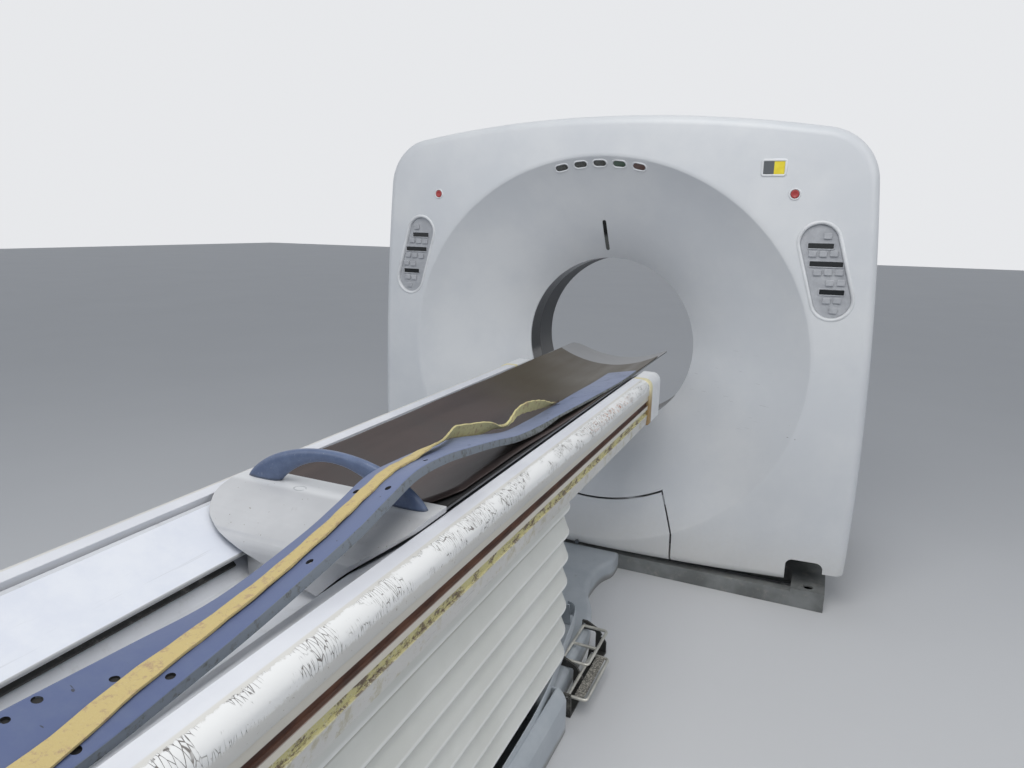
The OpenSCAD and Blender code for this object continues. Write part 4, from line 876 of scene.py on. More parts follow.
# %% Faded blue finish
trim_finish = Finish("blue trim, darker grey where not facing up", (0.19, 0.235, 0.37), 0.4)
facing = Wire(trim_finish.tree, trim_finish.tree.nodes.new("ShaderNodeNewGeometry").outputs["Normal"])
up_share = trim_finish.node("ShaderNodeSeparateXYZ", {}, {0: facing}, 2)
y = trim_finish.axes()[1]
faded = trim_finish.mix(trim_finish.ease(y, -2.6, -1.2), (0.085, 0.115, 0.235), (0.195, 0.235, 0.365))
faded = trim_finish.mix(trim_finish.patches(0.42, 0.68, 14.0, 5.0, 0.7) * 0.5, faded, (0.115, 0.150, 0.255))
nicks = trim_finish.noise(95.0, 2.0, 0.5, (0.35, 1.0, 1.0))
faded = trim_finish.mix(trim_finish.ease(nicks, 0.735, 0.765), faded, (0.035, 0.04, 0.06))
dashes = trim_finish.noise(60.0, 3.0, 0.6, (0.45, 1.6, 1.0)) + trim_finish.ease(y, -1.35, -1.0) * 0.07
faded = trim_finish.mix(trim_finish.ease(dashes, 0.735, 0.755), faded, (0.035, 0.04, 0.06))
edge_dirt = trim_finish.noise(70.0, 5.0, 0.7)
edge = trim_finish.mix(trim_finish.ease(edge_dirt, 0.52, 0.70), (0.165, 0.19, 0.225), (0.085, 0.09, 0.085))
far_edge = trim_finish.mix(trim_finish.ease(edge_dirt, 0.42, 0.60), (0.20, 0.22, 0.23), (0.07, 0.075, 0.065))
edge = trim_finish.mix(trim_finish.ease(y, -1.65, -1.30), edge, far_edge)
# Every face that doesn't face up, the trim's sides and underside, is painted a darker grey, dirtier in patches.
side = trim_finish.ease(up_share, 0.80, 0.55)
trim_finish.feed(base_color=trim_finish.mix(side, faded, edge), roughness=0.36 + edge_dirt * 0.15 + side * 0.2,
                 normal=trim_finish.bump(trim_finish.noise(260.0, 3.0), 0.00008))
settle(trim, "table", trim_finish, "trim_strip", slot="trim_blue")
# The faces inside the screw holes get a near-black second material: painted shade in the holes.
trim.data.materials.append(everyday("painted shade in screw holes", (0.012, 0.012, 0.013), 0.8).material)
for face in trim.data.polygons:
    near_by = [radius for spot, radius in spots if (face.center - spot).length < radius * 1.08]
    if near_by and face.area < 4.0 * near_by[0] ** 2:
        face.material_index = 1

# %% [markdown]
# ## Foam tape
# The yellow foam tape still sticks along the near half of the trim. Past the handle it lets go, stands up on its
# edge over the mat, narrows to a crumpled neck, and comes down on the trim again. Each station of its path says how
# far it leans and how wide it is there, and small sine waves fray its edges.

# %% Tape
glued = [(y, *on_trim(y, across, 0.0032)[0].xz, on_trim(y, across)[1], 0.0145)
         for y, across in ((-2.712, 0.032), (-2.60, 0.028), (-2.48, 0.013), (-2.36, 0.006), (-2.24, 0.001),
                           (-2.12, -0.004), (-2.03, -0.006), (-1.95, -0.005), (-1.88, -0.006))]
loose = [
    (-1.80, on_trim(-1.80, -0.010)[0].x, on_trim(-1.80, 0)[0].z + 0.008, 24, 0.015),
    (-1.72, on_trim(-1.72, -0.020)[0].x, on_trim(-1.72, 0)[0].z + 0.008, 38, 0.010),
    (-1.65, on_trim(-1.65, -0.036)[0].x, on_trim(-1.65, 0)[0].z + 0.010, 58, 0.012),
    (-1.58, 0.086, 0.933, 66, 0.016), (-1.50, 0.083, 0.914, 70, 0.019), (-1.43, 0.081, 0.901, 64, 0.019),
    (-1.375, 0.079, 0.889, 52, 0.016), (-1.32, 0.076, 0.875, 30, 0.008), (-1.27, 0.074, 0.866, 50, 0.0055),
    (-1.235, 0.076, 0.872, 100, 0.006), (-1.205, 0.079, 0.887, 84, 0.012), (-1.15, 0.081, 0.889, 74, 0.017),
    (-1.09, 0.084, 0.882, 70, 0.017), (-1.03, 0.087, 0.872, 62, 0.014), (-0.985, 0.092, 0.862, 40, 0.010),
    (-0.945, 0.100, 0.8615, 20, 0.008)]
tape_stations = smooth_path(glued + loose, 5)
tape_rings = []
for number, (y, x, z, lean, half) in enumerate(tape_stations):
    frayed = 0.0009 * math.sin(number * 1.9) + 0.0006 * math.sin(number * 4.3)
    thick = 0.0022 if half > 0.009 else 0.0032
    tape_rings.append(carried([(-half - frayed, -thick), (0, -thick), (half + frayed, -thick), (half + 0.0007, 0.0),
                               (half + frayed, thick), (half * 0.5, thick + 0.0003 * math.sin(number * 2.7)),
                               (0, thick), (-half * 0.5, thick + 0.0003 * math.cos(number * 3.1)),
                               (-half - frayed, thick), (-half - 0.0007, 0.0)], (x, y, z), lean))
tape = pull_open("foam_strip", tape_rings, smooth=50)
steps_along = [Vector((a[1], a[0], a[2])) for a in tape_stations]
tape_area = sum((b - a).length * (p[4] + q[4]) for a, b, p, q in
                zip(steps_along, steps_along[1:], tape_stations, tape_stations[1:]))

# %% Crumbling foam finish
tape_finish = Finish("yellow foam", (0.62, 0.47, 0.19), 0.8)
blotch = tape_finish.noise(75.0, 5.0, 0.75)
pores = tape_finish.noise(420.0, 4.0, 0.7)
y = tape_finish.axes()[1]
pale = tape_finish.mix(tape_finish.ease(y, -1.95, -1.6), (0.55, 0.44, 0.20), (0.62, 0.57, 0.28))
shade = tape_finish.mix(tape_finish.ease(blotch, 0.50, 0.66), pale, (0.42, 0.30, 0.18))
shade = tape_finish.layers(shade, (tape_finish.ease(pores, 0.55, 0.75) * 0.6, (0.62, 0.53, 0.32)),
                           (tape_finish.ease(y, -1.0, -0.955), (0.07, 0.055, 0.045)))
tape_finish.feed(base_color=shade, normal=tape_finish.bump(pores * 0.6 + blotch * 0.6, 0.0009))
settle(tape, "table", tape_finish, "foam_tape", slot="tape_yellow")

# %% [markdown]
# ## Tabletop
# The tabletop is a thin shell, hollow like a trough, with rounded corners at the head. Only its rim and its bare grey
# tip show beside the mat. Each ring is one section of the shell, drawn in where the corners are round.

# %% Shell of the tabletop
SAG, LOW_ARC, TOP_ARC = 0.793, 0.365, 0.460
TABLE_HALF, TABLE_FOOT, TABLE_HEAD = 0.220, -1.900, 0.160
HEAD_ROUND, HEAD_INSET = 0.075, 0.055


def table_top(x, lift=0.0):
    """Height of the tabletop's hollow, or of a layer on it."""
    return SAG + 0.022 + TOP_ARC - math.sqrt((TOP_ARC - lift) ** 2 - x * x)


def table_under(x):
    return SAG + LOW_ARC - math.sqrt(LOW_ARC ** 2 - x * x)


def table_ring(y):
    drawn_in = 0.0
    if y > TABLE_HEAD - HEAD_ROUND:
        share = (y - TABLE_HEAD + HEAD_ROUND) / HEAD_ROUND
        drawn_in = HEAD_INSET * (1 - math.sqrt(max(0.0, 1 - share * share)))
    half = TABLE_HALF - drawn_in
    xs = np.linspace(-half, half, 41)
    under = [(x, y, table_under(x)) for x in xs]
    edge = [(half, y, (table_under(half) + table_top(half)) / 2 + 0.002)]
    over = [(x, y, table_top(x)) for x in xs[::-1]]
    return under + edge + over + [(-half, y, edge[0][2])]


table_ys = [TABLE_FOOT, -1.4, -0.9, -0.4, 0.0] + list(np.linspace(TABLE_HEAD - HEAD_ROUND, TABLE_HEAD, 12))
table_shell = pull_open("table_shell", [table_ring(y) for y in table_ys])
settle(table_shell, "table", finishes["table_shell"], "tabletop", slot="table_shell")

# %% [markdown]
# ## Mat
# The brown vinyl mat lies in the hollow, glued at the head and loose at the foot. Beside the handle its right
# side has crept in and rolls up along the edge, and a black underlay shows under it: black foam, and in the same
# dark sheet the painted shadow of the gap. Both are grids laid on a formula and thickened, because a formula can
# follow the hollow exactly and still ripple and roll.

# %% Vinyl mat and its black underlay
MAT_FOOT, MAT_HEAD, MAT_HALF = -1.8745, -0.060, 0.215
LOOSE_FROM = -1.20
UNDERLAY_INNER, UNDERLAY_OUTER, UNDERLAY_LENGTH = 0.06, 0.2185, -1.15 - MAT_FOOT


def mat_reach(y):
    """How far the mat's right side reaches; its corner is cut off beside the handle."""
    full = MAT_HALF - 0.012 * max(0.0, min(1.0, (LOOSE_FROM - y) / 0.3))
    return min(full, 0.062 + (y - MAT_FOOT) * 1.12) if y < -1.73 else full


def mat_surface(u, v):
    y = MAT_FOOT + (MAT_HEAD - MAT_FOOT) * v
    reach = mat_reach(y)
    x = -MAT_HALF + (reach + MAT_HALF) * u
    loose = max(0.0, min(1.0, (LOOSE_FROM - y) / 0.35))
    edge = max(0.0, 1.0 - (reach - x) / 0.055)
    roll = 0.012 * loose * math.sin(math.pi * min(1.0, edge)) + 0.004 * loose * edge
    ripple = 0.0015 * math.sin(y * 9.0 + x * 7.0) + 0.0008 * math.sin(y * 23.0 - x * 15.0)
    hollow = 0.004 * loose * math.exp(-((x - 0.10) / 0.05) ** 2) * math.exp(-((y + 1.6) / 0.12) ** 2)
    return (x, y, table_top(x, 0.0045) + roll + max(ripple, -0.0012) * 0.8 + hollow)


def sheet_grid(name, surface, columns, rows, thickness):
    """A grid of faces laid on a surface of two shares, then thickened downwards."""
    bpy.ops.object.select_all(action="DESELECT")
    bpy.ops.mesh.primitive_grid_add(x_subdivisions=columns, y_subdivisions=rows, size=1.0)
    piece = named(name)
    shares = np.empty(len(piece.data.vertices) * 3)
    piece.data.vertices.foreach_get("co", shares)
    piece.data.vertices.foreach_set("co", np.ravel([surface(s[0] + 0.5, s[1] + 0.5) for s in shares.reshape(-1, 3)]))
    tidy_skin(piece, smooth=60)
    apply_modifier(piece, "SOLIDIFY", thickness=thickness, offset=-1.0)
    return piece


# %% Laying the mat and its underlay
mat = sheet_grid("vinyl_mat", mat_surface, 70, 160, 0.0035)


def underlay_surface(u, v):
    y = MAT_FOOT + 0.002 + UNDERLAY_LENGTH * v
    x = UNDERLAY_INNER + (UNDERLAY_OUTER - UNDERLAY_INNER) * u
    return (x, y, table_top(x, 0.0014) + 0.0004 * math.sin(y * 40.0 + x * 60.0))


underlay = sheet_grid("mat_underlay", underlay_surface, 16, 60, 0.0012)
round_edges(mat, 0.0012, 2, 60)

# %% Vinyl finish, and the underlay's black foam and painted shadow
vinyl = Finish("brown vinyl", (0.062, 0.045, 0.042), 0.42)
y = vinyl.axes()[1]
streak = vinyl.noise(16.0, 4.0, 0.6, (1.0, 0.06, 1.0))
patch = vinyl.noise(5.0, 5.0, 0.6)
grain = vinyl.cells(900.0)
shade = vinyl.mix(vinyl.ease(streak, 0.35, 0.7), (0.036, 0.025, 0.024), (0.062, 0.045, 0.042))
# Towards the head the vinyl is painted olive: a painted reflection on the mat.
shade = vinyl.layers(shade, (vinyl.ease(patch, 0.45, 0.75) * 0.5, (0.040, 0.038, 0.037)),
                     (vinyl.ease(y + (patch - 0.5) * 0.3, -1.15, -0.6) * 0.7, (0.062, 0.050, 0.024)))
vinyl.feed(base_color=shade, roughness=0.46 + (streak - 0.5) * 0.25,
           normal=vinyl.bump(grain, 0.00015, 0.5))
settle(mat, "table", vinyl, "mat", slot="mat_brown")
# The underlay is black foam and also one dark sheet painted as the shadow in the gap beside the mat.
shadow_and_foam_black = everyday("black underlay, foam and painted shadow", (0.012, 0.012, 0.013), 0.8, 0.0, 300.0, 0.0006, 0.3)
settle(underlay, "table", shadow_and_foam_black, slot="mat_brown")

# %% [markdown]
# ## Foot cover
# The grey cover over the tabletop's foot is one smooth moulding, rounded at the near end and tapering below. It is
# what three outlines have in common: its plan, its side view and its section. The edges are then rounded.

# %% Outlines of the foot cover
SEAT = 0.887
across_half = [(-2.075, 0.130), (-2.059, 0.170), (-2.025, 0.206), (-1.975, 0.230), (-1.875, 0.236)]
plan_half = [(row[1], row[0]) for row in smooth_path(across_half, 5)]
plan = plan_half + [(-x, y) for x, y in plan_half[::-1]]
profile = [tuple(p) for p in smooth_path([(-2.075, 0.812), (-2.066, 0.836), (-2.035, 0.861), (-1.987, 0.878),
                                          (-1.945, 0.886), (-1.920, 0.887), (-1.875, 0.887)], 5)]
profile += [(-1.875, 0.70), (-2.075, 0.70)]
right_section = [tuple(p) for p in smooth_path([(0.088, 0.766), (0.150, 0.822), (0.214, 0.864), (0.232, 0.874),
                                                (0.2345, 0.879), (0.2345, 0.888)], 4)]
left_section = [(-0.2345, 0.888), (-0.2345, 0.879), (-0.232, 0.8745), (-0.222, 0.870),
                (-0.150, 0.8385), (-0.088, 0.817)]
section = right_section + left_section


def solid_between(name, outline, plane, start, length):
    """An outline drawn in one plane and extruded across it."""
    if plane == "plan":
        return extrude_outline(name, outline, (0, 0, length), lambda p: (p[0], p[1], start))
    if plane == "side":
        return extrude_outline(name, outline, (length, 0, 0), lambda p: (start, p[0], p[1]))
    return extrude_outline(name, outline, (0, length, 0), lambda p: (p[0], start, p[1]))


# %% Cover over the tabletop's foot
foot_cover = solid_between("foot_cover", section, "front", -2.09, 0.215)
cut(foot_cover, solid_between("in_plan", plan, "plan", 0.70, 0.30), "INTERSECT")
cut(foot_cover, solid_between("in_side", profile, "side", -0.3, 0.6), "INTERSECT")
inner_section = [(x * 0.97, z + 0.001 if z > 0.87 else z + 0.005) for x, z in section]
inner_profile = [(y + 0.006, min(z, SEAT) - 0.004) for y, z in profile[:-2]]
inner_profile += [(-1.8, 0.883), (-1.8, 0.70), (-2.069, 0.70)]
hollow = solid_between("hollow", inner_section, "front", -2.060, 0.30)
cut(hollow, solid_between("hollow_side", inner_profile, "side", -0.3, 0.6), "INTERSECT")
cut(foot_cover, hollow)
round_edges(foot_cover, 0.0022, 3, 38, 42)

# %% Stained grey finish
grey = Finish("grey moulding, lit top painted, dark ring", (0.52, 0.54, 0.58), 0.36)
x, y, z = grey.axes()
cloud = grey.noise(7.0, 5.0, 0.6)
shade = grey.mix(grey.ease(cloud, 0.35, 0.7), (0.475, 0.485, 0.505), (0.53, 0.54, 0.56))
top = grey.ease(z, 0.8835, 0.8865)
# A dark ring is painted on the top, beside the handle.
ring_x, ring_y = x + 0.068, y + 1.928
ring_reach = (ring_x * ring_x + ring_y * ring_y * 1.6) ** 0.5
ring = grey.ease(ring_reach, 0.0105, 0.0120) * grey.ease(ring_reach, 0.0155, 0.0140)
smears = grey.patches(0.60, 0.74, 30.0, 6.0, 0.75, (1.0, 0.5, 2.0))
# The flat top strip is painted lighter than the curved face: a painted highlight where light falls on it.
shade = grey.layers(shade, (top * grey.ease(y, -1.95, -1.93), (0.63, 0.645, 0.665)),
                    (ring * grey.patches(0.35, 0.55, 150.0) * 0.55, (0.17, 0.19, 0.22)),
                    (smears * 0.45, (0.30, 0.30, 0.30)),
                    (grey.patches(0.765, 0.78, 150.0, 1.0) * 0.8, (0.16, 0.13, 0.10)))
grey.feed(base_color=shade, roughness=0.34 + cloud * 0.14 + smears * 0.15,
          normal=grey.bump(grey.noise(500.0), 0.00008))
settle(foot_cover, "table", grey, "tabletop_foot_cover", slot="wedge_grey")

# %% [markdown]
# ## Handle
# One bent grip joins two feet on the foot cover. Its section starts as a low slab, is thickest and twisted at the
# bend, and runs out flat again at the right. Its rings are laid between an outer and an inner arch, which a pipe
# along one curve could not follow.

# %% Blue handle
HANDLE_Y, HANDLE_CORNERS = -1.910, 28
GRIP_SPAN, GRIP_RISE, HOLE_SPAN, HOLE_RISE = 0.222, 0.102, 0.136, 0.066
handle_rings = []
for share in np.linspace(0.0, 1.0, 61):
    angle = math.pi * (1 - share)
    outer_point = Vector((GRIP_SPAN * math.cos(angle), 0.868 + GRIP_RISE * math.sin(angle) ** 1.2))
    inner_point = Vector((HOLE_SPAN * math.cos(angle), 0.880 + HOLE_RISE * math.sin(angle) ** 1.7))
    middle, arm = (outer_point + inner_point) / 2, (outer_point - inner_point) / 2
    deep = (0.019 + 0.2 * max(0.0, arm.length - 0.015)) / 2
    ring = []
    for k in range(HANDLE_CORNERS):
        turn = 2 * math.pi * k / HANDLE_CORNERS
        c, s = math.cos(turn), math.sin(turn)
        a = math.copysign(abs(c) ** 0.75, c)
        b = math.copysign(abs(s) ** 0.75, s)
        spot = middle + arm * a
        ring.append((spot.x, HANDLE_Y + deep * b, spot.y))
    handle_rings.append(ring)
handle = pull_open("handle_grip", handle_rings, smooth=50)
cut(handle, solid_between("seat_cutter", rectangle(-0.4, 0.4, 0.6, SEAT + 0.0003), "front", -2.1, 0.4))
round_edges(handle, 0.001, 2, 50, 50)
print("handle", len(handle.data.polygons), "faces")

# %% Rubbed blue finish
blue = Finish("steel blue moulding", (0.10, 0.145, 0.225), 0.38)
z = blue.axes()[2]
rub = blue.noise(24.0, 5.0, 0.65)
shade = blue.mix(blue.ease(rub, 0.40, 0.70), (0.085, 0.120, 0.215), (0.120, 0.165, 0.275))
shade = blue.layers(shade, (blue.ease(z + (rub - 0.5) * 0.012, 0.8935, 0.8885) * 0.6, (0.035, 0.045, 0.06)),
                    (blue.patches(0.74, 0.77, 300.0, 1.0) * 0.7, (0.35, 0.38, 0.42)))
blue.feed(base_color=shade, roughness=0.34 + (rub - 0.5) * 0.25, normal=blue.bump(blue.noise(500.0), 0.0001))
settle(handle, "table", blue, "tabletop_handle", slot="handle_blue")

# %% [markdown]
# ## Side rails
# Each rail is an extrusion with a rounded shoulder. Its paint has cracked and flaked along the shoulder; the groove
# is bare and stained where the trim used to be, with specks of old glue along its lips. The cracks are the borders of
# stretched cells, shown only where the paint has flaked, so no painted picture is needed. A dark line along the
# flakes' edges is their painted shadow.

# %% Outline of the rails
RAIL_FOOT, RAIL_HEAD = -2.880, -0.524
shoulder = [tuple(p) for p in smooth_path([(0.264, 0.871), (0.277, 0.868), (0.288, 0.861),
                                           (0.295, 0.851), (0.297, 0.840)], 4)]
rail_outline = [(0.232, 0.707), (0.232, 0.8700), (0.233, 0.871), (0.250, 0.871)] + shoulder
rail_outline += [(0.297, 0.8165), (0.2962, 0.8150), (0.2945, 0.8135), (0.294, 0.8120), (0.294, 0.7975),
                 (0.2935, 0.7965), (0.2925, 0.796), (0.2885, 0.796), (0.287, 0.7945), (0.287, 0.7795),
                 (0.2885, 0.778), (0.2930, 0.778), (0.294, 0.777), (0.294, 0.764), (0.293, 0.763), (0.290, 0.763),
                 (0.289, 0.762), (0.289, 0.744), (0.290, 0.743), (0.2932, 0.743), (0.294, 0.7415), (0.2935, 0.736),
                 (0.291, 0.707)]
print("rail outline of", len(rail_outline), "corners")


# %% Cracked and sound paint
def rail_paint(name, worn):
    paint = Finish(name, (0.66, 0.66, 0.64), 0.42)
    x, y, z = paint.axes()
    out = x if worn else -x
    cloud = paint.noise(6.0, 5.0, 0.6)
    # The rail's top is painted lighter and bluer than its shoulder and side: painted light on one white paint.
    flat = paint.mix(paint.ease(cloud, 0.35, 0.7), (0.66, 0.68, 0.735), (0.725, 0.745, 0.79))
    body = paint.mix(paint.ease(cloud, 0.3, 0.7), (0.60, 0.595, 0.575), (0.655, 0.65, 0.625))
    shade = paint.mix(paint.ease(out, 0.262, 0.266), flat, body)
    rough = 0.34 + (cloud - 0.5) * 0.2
    height = paint.noise(300.0, 3.0) * 0.1
    if not worn:
        paint.feed(base_color=shade, roughness=rough, normal=paint.bump(height, 0.0004))
        return paint
    ragged = paint.noise(70.0, 6.0, 0.75) - 0.5
    ragged_out = out + ragged * 0.022
    flaked = paint.ease(ragged_out, 0.2695, 0.2725) * paint.ease(z + ragged * 0.02, 0.833, 0.841)
    flaked = flaked * paint.patches(0.22, 0.30, 9.0, 5.0, 0.7, (1.0, 0.5, 1.0))
    clumps = paint.patches(0.44, 0.53, 24.0, 3.0, 0.6, (1.0, 0.5, 1.0))
    network = paint.cells(70.0, (0.5, 2.4, 0.5), "DISTANCE_TO_EDGE") + (paint.noise(40.0, 3.0, 0.6) - 0.5) * 0.08
    cracks_and_flake_shadow = paint.ease(network, 0.042, 0.016) * flaked * clumps
    # A dark line along the edges of the flakes is their painted shadow, laid in with the cracks.
    flake_edge_shadow = paint.ease(ragged_out, 0.2690, 0.2705) * paint.ease(ragged_out, 0.2745, 0.2725)
    cracks_and_flake_shadow = cracks_and_flake_shadow.maths("MAXIMUM", cracks_and_flake_shadow, flake_edge_shadow * paint.patches(0.56, 0.62, 90.0, 4.0, 0.8) * clumps)
    dots = paint.patches(0.64, 0.70, 170.0, 3.0, 0.7) * paint.ease(z, 0.86, 0.83)

    groove = paint.ease(z, 0.7985, 0.7955) * paint.ease(z, 0.7755, 0.7785)
    ledge = paint.ease(z, 0.8160, 0.8125) * (1.0 - groove) * paint.ease(z, 0.757, 0.7585)
    stains = paint.mix(paint.patches(0.40, 0.65, 30.0, 5.0, 0.7, (1.0, 0.3, 1.0)),
                       (0.045, 0.014, 0.007), (0.125, 0.050, 0.026))
    glue_band = paint.ease(z, 0.7650, 0.7615) * paint.ease(z, 0.7400, 0.7440)
    glue = paint.mix(paint.patches(0.47, 0.59, 60.0, 6.0, 0.75, (1.0, 0.45, 1.0)),
                     (0.60, 0.55, 0.24), (0.095, 0.050, 0.018))
    glue = paint.mix(paint.patches(0.55, 0.66, 190.0, 3.0, 0.7), glue, (0.62, 0.59, 0.42))
    drips = paint.ease(z + ragged * 0.030, 0.7420, 0.7370) * paint.patches(0.50, 0.66, 26.0, 4.0, 0.7)
    rust = (paint.patches(0.53, 0.60, 75.0, 5.0, 0.8) * paint.ease(y, -1.28, -1.08) * paint.ease(y, -0.70, -0.86)
            * paint.ease(z, 0.869, 0.864) * paint.ease(z, 0.842, 0.852))
    scuffs = paint.patches(0.60, 0.70, 18.0, 6.0, 0.75, (1.0, 0.25, 2.0)) * paint.ease(z, 0.740, 0.730)
    shade = paint.layers(
        shade, (flaked, (0.80, 0.81, 0.815)), (cracks_and_flake_shadow * 0.9, (0.10, 0.085, 0.075)), (dots * 0.7, (0.25, 0.20, 0.16)),
        (ledge * 0.75, (0.66, 0.62, 0.53)), (groove, stains), (glue_band * 0.92, glue),
        (drips * paint.ease(z, 0.7435, 0.7425) * 0.6, (0.40, 0.36, 0.20)), (rust * 0.9, (0.40, 0.13, 0.03)),
        (scuffs * 0.5, (0.33, 0.33, 0.32)))
    paint.feed(base_color=shade, roughness=rough + flaked * 0.2 + groove * 0.3 + glue_band * 0.2,
               normal=paint.bump(height + cracks_and_flake_shadow * -0.9 + flaked * -0.45 + glue_band * (ragged + 0.5), 0.0007))
    return paint


# %% Rails and their end caps
worn_paint, sound_paint = rail_paint("cracked rail paint", True), rail_paint("sound rail paint", False)
cap_shoulder = [tuple(p) for p in smooth_path([(0.264, 0.871), (0.279, 0.870), (0.291, 0.863),
                                               (0.298, 0.853), (0.301, 0.841)], 4)]
cap_outline = [(0.232, 0.703), (0.232, 0.871)] + cap_shoulder + [(0.301, 0.711), (0.299, 0.703)]
CAP_FOOT, CAP_LENGTH = -0.529, 0.157
cap_finish = Finish("white end cap, taped", (0.70, 0.72, 0.74), 0.36)
_, y, z = cap_finish.axes()
cloud = cap_finish.noise(26.0, 5.0, 0.65)
band = cap_finish.ease(y + (cloud - 0.5) * 0.005, -0.498, -0.501)
cap_white = cap_finish.mix(cap_finish.ease(cloud, 0.4, 0.7), (0.70, 0.72, 0.745), (0.755, 0.77, 0.79))
aged = cap_finish.mix(cap_finish.ease(z + (cloud - 0.5) * 0.04, 0.845, 0.775), (0.72, 0.66, 0.42), (0.33, 0.22, 0.10))
cap_finish.feed(base_color=cap_finish.mix(band, cap_white, aged), roughness=0.34 + band * 0.2,
                normal=cap_finish.bump(cloud, 0.0002))
for side, label, paint in ((1, "right", worn_paint), (-1, "left", sound_paint)):
    rail = extrude_outline(label + "_rail_profile", rail_outline, (0, RAIL_HEAD - RAIL_FOOT, 0),
                           lambda p: (side * p[0], RAIL_FOOT, p[1]))
    round_edges(rail, 0.0008, 2, 60, 30)
    settle(rail, "couch_deck", paint, label + "_side_rail", slot="rail_paint")
    cap = extrude_outline(label + "_end_cap", cap_outline, (0, CAP_LENGTH, 0),
                          lambda p: (side * p[0], CAP_FOOT, p[1]))
    round_edges(cap, 0.006, 5, 60, 40)
    settle(cap, "couch_deck", cap_finish, "rail_end_caps", slot="rail_paint")

# %% [markdown]
# ## Deck
# The deck between the rails is a tray, folded from one sheet. It is extruded from its section, a thin zigzag, and
# its folds are rounded.

# %% Deck tray
DECK_FOOT, DECK_HEAD = -2.870, -0.395
deck_line = [(0.225, 0.862), (0.152, 0.819), (0.088, 0.755)]
upper = deck_line + [(-x, z) for x, z in deck_line[::-1]]
lower = [(-x, z - 0.005) for x, z in deck_line] + [(x, z - 0.005) for x, z in deck_line[::-1]]
deck_tray = extrude_outline("deck_shell", upper + lower, (0, DECK_HEAD - DECK_FOOT, 0),
                            lambda p: (p[0], DECK_FOOT, p[1]))
round_edges(deck_tray, 0.004, 4, 25, 45, offset_type="WIDTH")
tray_paint = everyday("grey trough laminate", (0.60, 0.62, 0.66), 0.34, 0.0, 400.0, 0.0001, 0.06,
                      dust=(0.34, 0.33, 0.32))
settle(deck_tray, "couch_deck", tray_paint, "deck_tray", slot="deck_white")

# %% [markdown]
# ## Bellows
# The bellows hang between the couch's deck and the floor cover. Every fold is a ring with round corners: a rounded
# ridge painted bright as a highlight, a flat slanting wall and a narrow valley painted dark as shade. All folds share
# one list of numbers, so seven of them cost
# no more than one.

# %% Bellows
FOLDS, BELLOWS_LOW, BELLOWS_TOP = 7, 0.168, 0.700
BELLOWS_FOOT, BELLOWS_HEAD, BELLOWS_HALF, BELLOWS_CORNER = -2.620, -1.160, 0.262, 0.100
BELLOWS_SKIN = 0.0025


def bellows_ring(inset, z):
    ring = []
    radius = BELLOWS_CORNER - inset
    head, foot = BELLOWS_HEAD - BELLOWS_CORNER, BELLOWS_FOOT + BELLOWS_CORNER
    for corner, (side, centre_y) in enumerate(((1, head), (-1, head), (-1, foot), (1, foot))):
        centre_x = side * (BELLOWS_HALF - BELLOWS_CORNER)
        for k in range(13):
            angle = math.radians(90 * corner + 90 * k / 12)
            ring.append((centre_x + radius * math.cos(angle), centre_y + radius * math.sin(angle), z))
    return ring


fold_height = (BELLOWS_TOP - BELLOWS_LOW) / FOLDS
FOLD_SHAPE = ((0.0, 0.0205), (0.03, 0.0222), (0.06, 0.0205), (0.235, 0.0030), (0.26, 0.0012), (0.30, 0.0002),
              (0.34, 0.0006), (0.375, 0.0020), (0.95, 0.0180))
outside = [(inset, BELLOWS_LOW + fold * fold_height + share * fold_height)
           for fold in range(FOLDS) for share, inset in FOLD_SHAPE]
outside.append((0.0205, BELLOWS_TOP))
skin = [bellows_ring(inset, z) for inset, z in outside]
skin += [bellows_ring(inset + BELLOWS_SKIN, z) for inset, z in outside[::-1]]
bellows = pull_rings("bellows_skin", skin, closed=True, smooth=50)
print("bellows of", FOLDS, "folds,", round(fold_height, 3), "m each")

# %% Cream vinyl finish
cream = Finish("cream bellows vinyl", (0.66, 0.665, 0.61), 0.42)
z = cream.axes()[2]
cloud = cream.noise(5.0, 5.0, 0.6)
phase = ((z - BELLOWS_LOW) / fold_height).maths("FRACT", (z - BELLOWS_LOW) / fold_height)
shade = cream.mix(cream.ease(cloud, 0.35, 0.7), (0.68, 0.69, 0.655), (0.735, 0.745, 0.715))
# The ridge of each fold is painted nearly white: a painted highlight.
ridge = cream.ease(phase, 0.22, 0.29) * cream.ease(phase, 0.40, 0.33)
shade = cream.mix(ridge * 0.9, shade, (0.86, 0.865, 0.85))
# The valley of each fold is painted dark: painted shade in the crease.
valley = cream.ease(phase, 0.09, 0.02) + cream.ease(phase, 0.90, 0.99)
shade = cream.mix(valley * 0.75, shade, (0.22, 0.21, 0.17))
creases = cream.noise(26.0, 4.0, 0.6, (1.0, 0.35, 2.0))
cream.feed(base_color=shade, roughness=0.38 + cloud * 0.12, normal=cream.bump(creases, 0.0010))
settle(bellows, "base", cream, "bellows", slot="bellows_white")
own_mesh(bellows)

# %% [markdown]
# ## Pedals
# Two bent wire pedals stick out under the couch. Each is one round rod, bent into a loop; the front one has a
# crossbar, the rear one carries a rubber pad. A rod is a circle carried along its corners, with a short arc at each.

# %% Bent rods
ROD_RADIUS, ROD_SIDES, ROD_BEND = 0.0049, 14, 0.012


